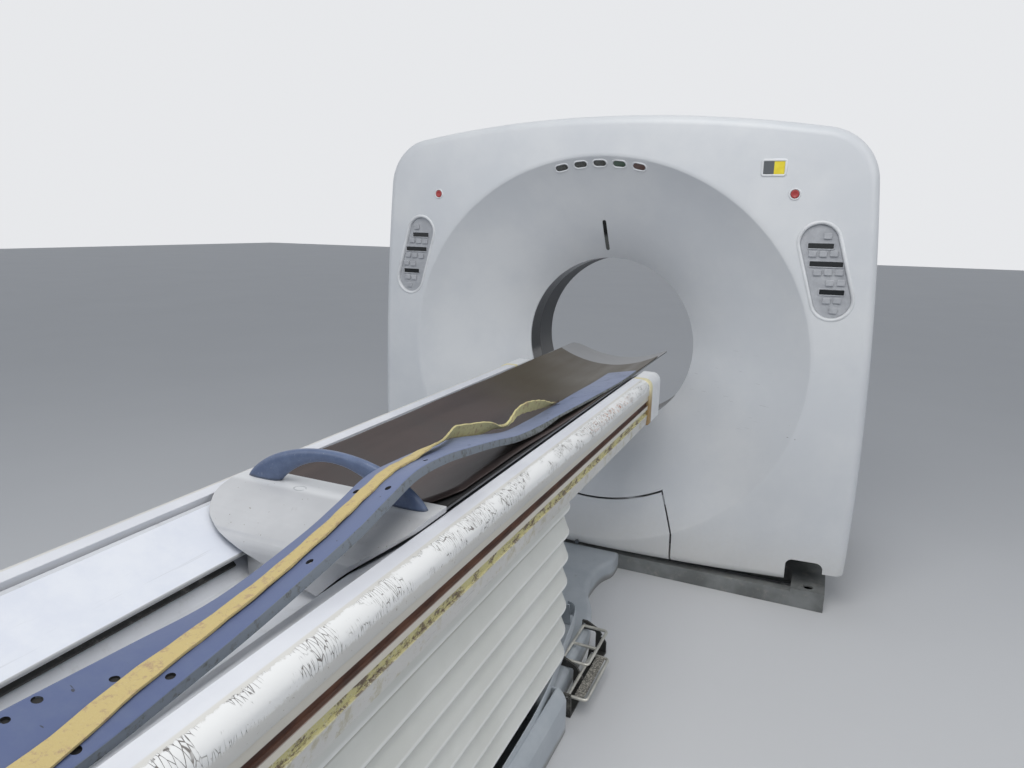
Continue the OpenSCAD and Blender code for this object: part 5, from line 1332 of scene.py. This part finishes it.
def rod(name, stations, steps):
    """A round rod along a path of (x, y, z) points."""
    path = [Vector(p) for p in smooth_path(stations, steps)]
    rings = []
    reference = Vector((0, 0, 1))
    for i, point in enumerate(path):
        ahead = (path[min(i + 1, len(path) - 1)] - path[max(i - 1, 0)]).normalized()
        side = ahead.cross(reference)
        if side.length < 0.1:
            side = ahead.cross(Vector((0, 1, 0)))
        side.normalize()
        above = side.cross(ahead).normalized()
        rings.append([point + side * ROD_RADIUS * math.cos(turn) + above * ROD_RADIUS * math.sin(turn)
                      for turn in (2 * math.pi * k / ROD_SIDES for k in range(ROD_SIDES))])
    return pull_open(name, rings, smooth=60)


def corner_rod(name, corners):
    """A round rod with a small bend at each corner of its path."""
    points = [Vector(p) for p in corners]
    stations = [points[0]]
    for before, corner, after in zip(points, points[1:], points[2:]):
        back, on = (before - corner).normalized(), (after - corner).normalized()
        for share in (0.0, 0.25, 0.5, 0.75, 1.0):
            a, b = corner + back * ROD_BEND, corner + on * ROD_BEND
            stations.append(a * (1 - share) ** 2 + corner * 2 * share * (1 - share) + b * share ** 2)
    stations.append(points[-1])
    return rod(name, stations, 1)


# %% Pedals
plated = finishes["pedal_wire"]
for name, hinge, near, far, reach in (("front_pedal", (0.212, 0.090), -1.114, -0.910, 0.082),
                                      ("rear_pedal", (0.275, 0.060), -1.234, -1.013, 0.056)):
    pieces = [corner_rod(name + "_loop", [(hinge[0], near, hinge[1]), (hinge[0] + reach, near, hinge[1]),
                                          (hinge[0] + reach, far, hinge[1]), (hinge[0], far, hinge[1])]),
              rod(name + "_axle", [(hinge[0], near - 0.0005, hinge[1]), (hinge[0], far + 0.0005, hinge[1])], 2)]
    if name == "front_pedal":
        pieces.append(rod("crossbar", [(hinge[0], -1.020, hinge[1]), (hinge[0] + reach, -1.020, hinge[1])], 2))
    loop = joined(pieces, name + "_wire")
    settle(loop, name + "_frame", plated, name, slot="pedal_wire")

# %% Rubber pad of the rear pedal
PAD_FOOT, PAD_LENGTH = -1.2328, 0.219
pad = extrude_outline("pedal_pad", rectangle(0.2925, 0.3215, 0.0592, 0.0638), (0, PAD_LENGTH, 0),
                      lambda p: (p[0], PAD_FOOT, p[1]))
round_edges(pad, 0.0015, 3, 60)
speckled = Finish("mottled pad rubber", (0.30, 0.29, 0.26), 0.65)
flecks = speckled.noise(160.0, 4.0, 0.8)
speckled.feed(base_color=speckled.mix(speckled.ease(flecks, 0.46, 0.58), (0.11, 0.105, 0.095), (0.42, 0.40, 0.35)),
              normal=speckled.bump(flecks, 0.0006))
settle(pad, "rear_pedal_frame", speckled, slot="pedal_wire")

# %% [markdown]
# ## Gantry covers behind the front
# The top cover closes the casing between the front and rear covers, the side covers do the same at both sides.
# All follow the outline formula, so they meet the front cover without a step. The rear cover has a rolled edge and a
# plain funnel to the bore.

# %% Top and side covers
def slab(x0, x1, y0, y1, z0, z1):
    """A plain cutter block."""
    return extrude_outline("cutter", rectangle(x0, x1, z0, z1), (0, y1 - y0, 0), lambda p: (p[0], y0, p[1]))


TAIL = ISO - 0.700
SEAM, SEAM_ROLL = 0.0003, 0.0015
BELOW_FLOOR, ASIDE = -0.6, 1.5
crown_start = ISO + float(top_centre[1]) - 0.020
casing = [outline_ring(SEAM_ROLL, COVER_SPLIT + SEAM), outline_ring(0.0, COVER_SPLIT + 4 * SEAM),
          outline_ring(0.0, REAR_SPLIT - 4 * SEAM), outline_ring(SEAM_ROLL, REAR_SPLIT - SEAM),
          outline_ring(WALL, REAR_SPLIT - SEAM), outline_ring(WALL, COVER_SPLIT + SEAM)]
top_cover = pull_rings("top_skin", casing, closed=True, smooth=40)
side_cover = twin(top_cover, "side_skins")
cut(top_cover, slab(-ASIDE, ASIDE, -1.0, 1.0, crown_start, 3.0), "INTERSECT")
cut(side_cover, slab(-ASIDE, ASIDE, -1.0, 1.0, TAIL, crown_start - 0.0008), "INTERSECT")
print("top and side covers meet", round(crown_start, 3), "m above the floor")


# %% Rear cover with its funnel
def funnel_ring(share, grow):
    """The funnel out of the bore, on the rear cover; grow moves it to the hidden side of the wall."""
    reach = BORE + 0.200 * (1 - share)
    return round_ring(reach + grow, REAR - grow * (1 - share) - (REAR - LINER_REAR) * dish_fall(share))


rear_rings = [outline_ring(SEAM_ROLL, REAR_SPLIT + SEAM), outline_ring(0.0, REAR_SPLIT + 4 * SEAM)]
rear_rings += [outline_ring(EDGE * (1 - math.cos(w)), REAR - EDGE * (1 - math.sin(w))) for w in EDGE_ROLL]
rear_rings += [funnel_ring(share, 0.0) for share in np.linspace(0.0, 1.0, 18)]
rear_rings += [funnel_ring(share, WALL) for share in np.linspace(1.0, 0.0, 12)]
rear_rings += [outline_ring(EDGE, REAR - WALL), outline_ring(EDGE / 2, REAR - WALL - EDGE / 5),
               outline_ring(WALL, REAR - EDGE), outline_ring(WALL, REAR_SPLIT + SEAM)]
rear_cover = pull_rings("rear_skin", rear_rings, closed=True, smooth=40)
for side in (1, -1):
    notch = sorted((side * (STAND_INNER - 0.015), side * (STAND_OUTER + 0.028)))
    cut(rear_cover, slab(*notch, 0.40, 0.9, BELOW_FLOOR, TAIL + 0.060))
cut(rear_cover, slab(-ASIDE, ASIDE, 0.0, 0.9, BELOW_FLOOR, TAIL))
for piece, node in ((top_cover, "top_cover"), (side_cover, "side_covers"), (rear_cover, "rear_cover")):
    smooth_by(piece, 35)
    settle(piece, "gantry", finishes["cover_white"], node, slot="cover_white")

# %% [markdown]
# ## Control panels
# Each panel is a leaning stadium let into the front face: a rolled lip, a rubber pad with raised keys, and three
# dark windows in pale frames. A place on the face is found once, so both sides share the same pieces.


# %% Places on the face
def face_place(x, z, side=1):
    """A function from (across, out of the cover's back, up) to the front face at (x, z)."""
    turn = math.atan(BOW * 2 * x)
    c, s = math.cos(turn), math.sin(turn)
    return lambda u, depth, w: (side * (x + u * c - depth * s), face_y(x) + u * s + depth * c, ISO + z + w)


def set_on(place, outline, profile):
    """Rings at a place: an outline function of its radius, for each (radius, depth) pair."""
    return [[place(u, depth, w) for u, w in outline(radius)] for radius, depth in profile]


def lip(name, outline, place, profile):
    """A closed lip round an outline."""
    return pull_rings(name, set_on(place, outline, profile), closed=True, smooth=50)


def face_block(name, outline, place, near, far, bevel):
    """An outline pushed from far to near on the face, its edges rounded."""
    block = pull_open(name, [[place(u, depth, w) for u, w in outline] for depth in (far, near)])
    if bevel:
        round_edges(block, bevel, 3, 50, 50)
    return block


def rounded(half_u, half_w, radius):
    """Outline of a rectangle with round corners."""
    corners = ((1, 1, 0), (-1, 1, 90), (-1, -1, 180), (1, -1, 270))
    return [p for su, sw, start in corners
            for p in arc_points((su * (half_u - radius), sw * (half_w - radius)), radius, start, start + 90, 5)]


def moved(outline, u, w):
    return [(a + u, b + w) for a, b in outline]


# %% Panels, keys and displays
PANEL_MID = (PANEL_TOP + PANEL_BOTTOM) / 2
KEYS = [(818, 470), (775, 409), (809, 410), (843, 412), (797, 346), (831, 348),
        (866, 349), (840, 312), (876, 314), (836, 251), (870, 253), (861, 218)]
DISPLAYS = [(759, 839, 436), (770, 875, 375), (811, 889, 280)]
PANEL_LIP = [(0.0655, 0.013), (0.0655, 0.001), (0.0735, 0.0008), (0.0728, -0.0006), (0.0705, -0.0022),
             (0.0675, -0.0030), (0.0645, -0.0024), (0.0620, -0.0004), (0.0606, 0.004), (0.0604, 0.013)]
DISPLAY_FRAME = [(0.0045, 0.0088), (0.0045, 0.0070), (0.0040, 0.0062), (0.0028, 0.0060), (0.0012, 0.0066),
                 (0.0006, 0.0088)]
KEY_SHAPE = rounded(0.0128, 0.0105, 0.0035)
lips, pads, windows, frames_round = [], [], [], []
for side in (1, -1):
    place = face_place(*PANEL_MID, side)
    slot_outline = lambda radius: stadium(PANEL_TOP - PANEL_MID, PANEL_BOTTOM - PANEL_MID, radius, 24)
    lips.append(lip("panel_lip", slot_outline, place, PANEL_LIP))
    lips.append(face_block("panel_back", slot_outline(0.0655), place, 0.0124, 0.016, 0.0))
    pad = face_block("pad", slot_outline(0.0600), place, 0.009, 0.012, 0.0012)
    holes = []
    for left, right, level in DISPLAYS:
        u, w = (left + right) / 2000 - PANEL_MID[0], level / 1000 - PANEL_MID[1]
        half = (right - left) / 2000
        holes.append(face_block("hole", moved(rounded(half + 0.0004, 0.0084, 0.002), u, w), place, 0.000, 0.020, 0.0))
        windows.append(face_block("window", moved(rounded(half, 0.008, 0.0018), u, w), place, 0.0085, 0.0119, 0.0005))
        frames_round.append(lip("frame", lambda grow: moved(rounded(half + grow, 0.008 + grow, 0.002 + grow), u, w),
                                place, DISPLAY_FRAME))
    cut(pad, joined(holes, "holes"))
    smooth_by(pad, 25)
    pads.append(pad)
    for u, w in KEYS:
        key = moved(KEY_SHAPE, u / 1000 - PANEL_MID[0], w / 1000 - PANEL_MID[1])
        pads.append(face_block("key", key, place, 0.0030, 0.0092, 0.0020))
print(len(lips), "parts of the housings,", len(pads), "of the keypads,", len(windows), "windows")

# %% Key rubber and white lips
panel_lips = joined(lips, "panel_lips")
key_pads = joined(pads, "rubber_keys")
panel_windows = joined(windows, "panel_windows")
window_frames = joined(frames_round, "window_frames")
panel_paint = everyday("satin white lip", (0.70, 0.72, 0.745), 0.38, 0.0, 600.0, 0.00006)
rubber = Finish("key rubber", (0.42, 0.43, 0.46), 0.5)
smudge = rubber.noise(26.0, 5.0, 0.7)
shade = rubber.mix(rubber.ease(smudge, 0.38, 0.68), (0.375, 0.39, 0.42), (0.455, 0.47, 0.50))
shade = rubber.mix(rubber.patches(0.60, 0.70, 90.0, 4.0, 0.7) * 0.4, shade, (0.24, 0.24, 0.23))
rubber.feed(base_color=shade, roughness=0.46 + smudge * 0.12, normal=rubber.bump(rubber.noise(500.0), 0.0001))
settle(panel_lips, "gantry", panel_paint, "panel_housings", slot="panel_grey")
settle(key_pads, "gantry", rubber, "keypads", slot="key_white")
settle(panel_windows, "gantry", finishes["display_dark"], "panel_displays", slot="display_dark")
settle(window_frames, "gantry", rubber, slot="panel_grey")

# %% [markdown]
# ## Stop buttons, status window and lamps
# The red buttons sit in pale collars. The status window is half grey, half yellow, in a white frame. The five
# lamps over the bore are smoked lenses; one leans to green and the last to red. Each is a list of radii and depths
# set on the surface, as a turned part would be drawn.

# %% Stop buttons
BUTTON = [(0.0138, 0.0098), (0.0138, -0.0012), (0.0134, -0.0022), (0.0124, -0.0028), (0.0100, -0.0029),
          (0.0085, -0.0024), (0.0060, -0.0017), (0.0030, -0.0013)]
COLLAR = [(0.0200, 0.0015), (0.0200, -0.0012), (0.0192, -0.0028), (0.0176, -0.0034), (0.0160, -0.0028),
          (0.0150, -0.0008), (0.0148, 0.0015)]
collars = []


def disc(radius, sides=48):
    return [(radius * math.cos(a), radius * math.sin(a)) for a in np.linspace(0, 2 * math.pi, sides, endpoint=False)]


for side, label in ((1, "right"), (-1, "left")):
    place = face_place(*STOP_PLACE, side)
    button = pull_open(label + "_stop_cap", set_on(place, disc, BUTTON))
    settle(button, label + "_stop", finishes["stop_red"], label + "_stop_button", slot="stop_red")
    collars.append(lip("collar", disc, place, COLLAR))
collar_ring = joined(collars, "stop_collars")
settle(collar_ring, "gantry", panel_paint, slot="panel_grey")

# %% Status window
place = face_place(*STATUS_PLACE)
status = face_block("status_pane", rounded(STATUS_HALF[0], STATUS_HALF[1], 0.002), place, -0.0008, 0.008, 0.0008)
pane = Finish("grey and yellow pane", (0.80, 0.66, 0.03), 0.3)
x = pane.axes()[0]
tone = pane.noise(40.0, 4.0)
yellow = pane.mix(pane.ease(tone, 0.35, 0.7), (0.74, 0.60, 0.03), (0.83, 0.70, 0.06))
right_half = pane.ease(x, STATUS_PLACE[0] - 0.0005, STATUS_PLACE[0] + 0.0005)
pane.feed(base_color=pane.mix(right_half, (0.10, 0.11, 0.12), yellow), roughness=0.25 + tone * 0.1)
settle(status, "gantry", pane, "status_window", slot="status_yellow")
STATUS_FRAME = [(0.0085, 0.001), (0.0085, -0.0012), (0.0072, -0.0026), (0.0045, -0.0032), (0.0014, -0.0028),
                (0.0004, -0.0016), (0.0002, 0.001)]
status_frame = lip("status_frame", lambda grow: rounded(STATUS_HALF[0] + grow, STATUS_HALF[1] + grow, 0.002 + grow),
                   place, STATUS_FRAME)
settle(status_frame, "gantry", panel_paint, slot="panel_grey")


# %% Lamps over the bore
def dish_place(x, z):
    """A function from (across, depth, up) to the dish's surface near (x, z)."""
    def spot(px, pz):
        return Vector((px, dish_at(px, pz), ISO + pz))
    middle = spot(x, z)
    out = Vector((x, 0, z)).normalized()
    round_about = Vector((out.z, 0, -out.x))
    radial = (spot(x * 1.01, z * 1.01) - spot(x * 0.99, z * 0.99)).normalized()
    inward = radial.cross(round_about).normalized()
    if inward.y < 0:
        inward = -inward
    return lambda u, depth, w: middle + round_about * u + inward * depth + radial * w


LENS = [(0.0118, 0.009), (0.0118, 0.0018), (0.0112, 0.0008), (0.0095, 0.0002), (0.0060, -0.0003)]
RIM = [(0.0188, 0.0015), (0.0184, -0.0004), (0.0172, -0.0018), (0.0152, -0.0024), (0.0135, -0.0018),
       (0.0124, -0.0002), (0.0122, 0.002)]
lenses, rims = [], []
for x, z in LAMPS:
    place = dish_place(x, CREASE_TOP + z)
    lens_outline = lambda radius: stadium((-LAMP_HALF, 0.0), (LAMP_HALF, 0.0), radius, 16)
    lenses.append(pull_open("lens", set_on(place, lens_outline, LENS)))
    rims.append(lip("rim", lens_outline, place, RIM))
print(len(lenses), "lamps over the bore")

# %% Smoked lens finish
lamp_lenses = joined(lenses, "lamp_lenses")
lens_finish = Finish("smoked lenses", (0.21, 0.23, 0.22), 0.22, coat_weight=0.5)
x = lens_finish.axes()[0]
tone = lens_finish.noise(120.0, 4.0, 0.7)
smoked = lens_finish.mix(lens_finish.ease(tone, 0.35, 0.65), (0.050, 0.052, 0.050), (0.095, 0.098, 0.094))
smoked = lens_finish.layers(smoked, (lens_finish.ease(x, 0.037, 0.039) * 0.6, (0.06, 0.12, 0.08)),
                            (lens_finish.ease(x, 0.113, 0.115) * 0.8, (0.13, 0.060, 0.055)))
lens_finish.feed(base_color=smoked, roughness=0.18 + tone * 0.12)
settle(lamp_lenses, "gantry", lens_finish, "indicator_lamps", slot="lamp_lens")
settle(joined(rims, "lamp_rims"), "gantry", panel_paint, slot="panel_grey")

# %% [markdown]
# ## Lock of the service panel
# A small dark lock holds the service panel. It is a turned disc with a sunken middle, so it is pulled through rings,
# and it sits on the dish's surface by the same formula as the lamps do.

# %% Lock of the service panel
lock_x, lock_z = -0.015, 0.100 - ISO
lock_y = dish_at(lock_x, lock_z)
LOCK = [(0.009, 0.006), (0.009, -0.0008), (0.008, -0.0018), (0.005, -0.0018), (0.0042, -0.0008)]
lock = pull_open("service_lock", set_on(lambda u, depth, w: (lock_x + u, lock_y + depth, ISO + lock_z + w),
                                        lambda radius: disc(radius, 32), LOCK))
settle(lock, "gantry", finishes["motor_grey"], slot="motor_grey")

# %% [markdown]
# ## Loose board
# The left laminate board of the deck lies loose in the trough and reaches under the foot cover. Its top follows the
# tabletop's underside, its edges are rounded, and a dark strip under it fills the shadow between board and tray.

# %% Loose board
BOARD_FOOT, BOARD_HEAD = -2.870, -1.985
board_xs = np.linspace(-0.213, -0.090, 13)
board_top = [(x, table_under(x) - 0.0008) for x in board_xs]
board_low = [(x, z - 0.0065) for x, z in board_top[::-1]]
left_board = pull_open("loose_board", [[(x, y, z) for x, z in board_top + board_low]
                                       for y in (BOARD_FOOT, -2.6, -2.3, -2.08, BOARD_HEAD)], smooth=50)
round_edges(left_board, 0.0022, 4, 60, 50)
print("board", round(BOARD_HEAD - BOARD_FOOT, 3), "m long")

# %% Laminate finish
laminate = Finish("bluish white laminate, grey edge", (0.72, 0.75, 0.82), 0.3)
x = laminate.axes()[0]
worn = laminate.noise(9.0, 5.0, 0.65)
shade = laminate.mix(laminate.ease(worn, 0.35, 0.7), (0.70, 0.735, 0.82), (0.765, 0.795, 0.86))
scratch = laminate.patches(0.63, 0.68, 30.0, 3.0, 0.6, (3.0, 0.12, 1.0))
shade = laminate.layers(shade, (scratch * 0.3, (0.50, 0.52, 0.56)),
                        (laminate.ease(x, -0.0945, -0.0915), (0.36, 0.37, 0.385)))
laminate.feed(base_color=shade, roughness=0.28 + worn * 0.12 + scratch * 0.15)
settle(left_board, "couch_deck", laminate, "left_deck_board", slot="deck_white")
# The strip under the board is painted black as the shadow between board and tray.
strip = [(-0.205, 0.8530), (-0.150, 0.8200), (-0.104, 0.7795), (-0.104, 0.7765), (-0.152, 0.8195), (-0.205, 0.8515)]
under_board = extrude_outline("board_shade_strip", strip, (0, 0.80, 0), lambda p: (p[0], BOARD_FOOT + 0.002, p[1]))
settle(under_board, "couch_deck", finishes["bracket_black"], slot="deck_white")

# %% [markdown]
# ## Floor cover
# The pale blue cover on the floor runs from the gantry's beam to the couch: a flat tongue with round edges, a
# ridge on each side that widens towards the couch, and a skirt with a rolled top. They are separate mouldings on the
# real one, so each is pulled or extruded on its own, and they are joined at the end.

# %% Outlines of the floor cover
COVER_FOOT = -2.900
TONGUE_SIDE = smooth_path([(-0.295, 0.158), (-0.380, 0.158), (-0.462, 0.129), (-0.590, 0.126), (-0.688, 0.158),
                           (-0.756, 0.191), (-0.875, 0.223), (-0.970, 0.231), (-1.184, 0.243), (-1.324, 0.250)], 5)
RIDGE = smooth_path([(-0.905, 0.150), (-0.949, 0.191), (-1.190, 0.229), (-1.380, 0.257), (-1.685, 0.267),
                     (COVER_FOOT, 0.267)], 5)
RIDGE_SECTION = [(0.0, 0.118), (0.004, 0.118), (0.004, 0.1605), (0.0032, 0.163), (0.0016, 0.164),
                 (0.0005, 0.163), (0.0, 0.1605)]
skirt_curve = [tuple(q) for q in smooth_path([(0.298, 0.006), (0.298, 0.096), (0.2955, 0.112), (0.288, 0.126),
                                              (0.279, 0.135), (0.271, 0.140)], 4)]
SKIRT = [(0.292, 0.0), (0.2965, 0.001)] + skirt_curve + [(0.268, 0.1395), (0.267, 0.136), (0.276, 0.129),
                                                         (0.283, 0.120), (0.290, 0.106), (0.292, 0.094)]
SKIRT_END = [(0.244, 0.0), (0.2965, 0.001)] + skirt_curve + [(0.268, 0.1395), (0.2655, 0.1398), (0.248, 0.140),
                                                             (0.244, 0.070)]
BACK_PLATE = [(-0.298, 0.0), (0.298, 0.0), (0.298, 0.096), (0.291, 0.121), (0.268, 0.160),
              (-0.268, 0.160), (-0.291, 0.121), (-0.298, 0.096)]
CROSS_LIP = [(-0.905, 0.0705), (-0.899, 0.075), (-0.925, 0.164), (-0.931, 0.164)]
print("skirt outline of", len(SKIRT), "corners")


# %% Tongue, ridges and skirts
def tongue_ring(inset, z):
    """The tongue's plan, moved in and set at a height."""
    foot, head = -1.324 + inset, -0.295 - inset
    right = [(w - inset, min(max(y, foot), head), z) for y, w in TONGUE_SIDE]
    return right + [(-x, y, z) for x, y, z in right[::-1]]


tongue = pull_open("tongue", [tongue_ring(inset, z) for inset, z in
                              [(0.0, 0.0), (0.0, 0.052)] + [(0.020 * (1 - math.cos(w)), 0.055 + 0.020 * math.sin(w))
                                                            for w in np.linspace(0.1, math.pi / 2, 8)]])
cut(tongue, pull_open("under", [tongue_ring(0.005, -0.01), tongue_ring(0.005, 0.050), tongue_ring(0.022, 0.0705)]))
parts = [tongue]
for side in (1, -1):
    parts.append(pull_open("ridge", [[(side * (w + u), y, h) for u, h in RIDGE_SECTION] for y, w in RIDGE]))
    parts.append(extrude_outline("skirt", SKIRT, (0, 1.585, 0), lambda q: (side * q[0], COVER_FOOT, q[1])))
    end = extrude_outline("skirt_end", SKIRT_END, (0, 0.006, 0), lambda q: (side * q[0], -1.321, q[1]))
    round_edges(end, 0.0028, 4, 60)
    parts.append(end)
parts.append(extrude_outline("back_plate", BACK_PLATE, (0, 0.006, 0), lambda q: (q[0], COVER_FOOT, q[1])))
parts.append(extrude_outline("cross_lip", CROSS_LIP, (0.330, 0, 0), lambda q: (-0.165, q[0], q[1])))
print("floor cover of", len(parts), "mouldings")

# %% Scuffed pale blue finish
floor_cover = joined(parts, "floor_cover")
smooth_by(floor_cover, 45)
pale_blue = Finish("pale blue floor cover, scuffed", (0.40, 0.435, 0.475), 0.42)
z = pale_blue.axes()[2]
cloud = pale_blue.noise(8.0, 5.0, 0.65)
shade = pale_blue.mix(pale_blue.ease(cloud, 0.35, 0.7), (0.40, 0.44, 0.48), (0.47, 0.505, 0.54))
scuff = pale_blue.patches(0.60, 0.74, 34.0, 6.0, 0.75)
shade = pale_blue.mix(scuff * 0.5, shade, (0.30, 0.31, 0.31))
low = pale_blue.ease(z + (cloud - 0.5) * 0.03, 0.030, 0.006)
shade = pale_blue.mix(low * 0.7, shade, (0.17, 0.16, 0.14))
pale_blue.feed(base_color=shade, roughness=0.38 + cloud * 0.1 + scuff * 0.15,
               normal=pale_blue.bump(pale_blue.noise(420.0), 0.0001))
settle(floor_cover, "base", pale_blue, "couch_floor_cover", slot="floor_cover_blue")

# %% [markdown]
# ## Bore
# Inside the dish a glossy black ring lets the rays through, and behind it a dark grey liner reaches the rear cover.
# Both use the same angles as the covers, so their edges meet. The laser slot's window follows the dish's curve.

# %% Bore rings
RING_WALL = 0.004
front, rear = WINDOW_FRONT + FIT, WINDOW_REAR - FIT
scan_ring = pull_rings("scan_ring", [round_ring(BORE + r, y) for r, y in
                                     ((0.0, front), (0.0, rear), (RING_WALL, rear), (RING_WALL, front))],
                       closed=True, smooth=40)
front, rear = WINDOW_REAR + SEAM, LINER_REAR - SEAM
liner = pull_rings("bore_liner_ring", [round_ring(BORE + r, y) for r, y in
                                       ((SEAM_ROLL, front), (0.0, front + SEAM_ROLL), (0.0, rear - SEAM_ROLL),
                                        (SEAM_ROLL, rear), (RING_WALL, rear), (RING_WALL, front))],
                   closed=True, smooth=40)
settle(scan_ring, "gantry", finishes["window_black"], "scan_window", slot="window_black")
settle(liner, "gantry", finishes["liner_grey"], "bore_liner", slot="liner_grey")

# %% Laser window
PANE_HALF = 0.0077
pane_rings = []
for z in np.linspace(LASER_FAR + 0.0004, LASER_NEAR - 0.0004, 41):
    near_end = min(z - LASER_FAR, LASER_NEAR - z)
    half = PANE_HALF if near_end > PANE_HALF else math.sqrt(max(PANE_HALF ** 2 - (PANE_HALF - near_end) ** 2, 1e-8))
    depth = dish_at(LASER_X, z)
    pane_rings.append([(LASER_X - half, depth + 0.001, ISO + z), (LASER_X + half, depth + 0.001, ISO + z),
                       (LASER_X + half, depth + 0.006, ISO + z), (LASER_X - half, depth + 0.006, ISO + z)])
laser_pane = pull_open("laser_pane", pane_rings, smooth=35)
glass = Finish("dark laser window", (0.018, 0.020, 0.022), 0.12)
z = glass.axes()[2]
glass.feed(base_color=glass.mix(glass.ease(z, ISO + 0.462, ISO + 0.440), (0.014, 0.016, 0.018), (0.12, 0.125, 0.125)),
           roughness=0.12 + glass.noise(80.0) * 0.1)
settle(laser_pane, "gantry", glass, "laser_window", slot="window_black")
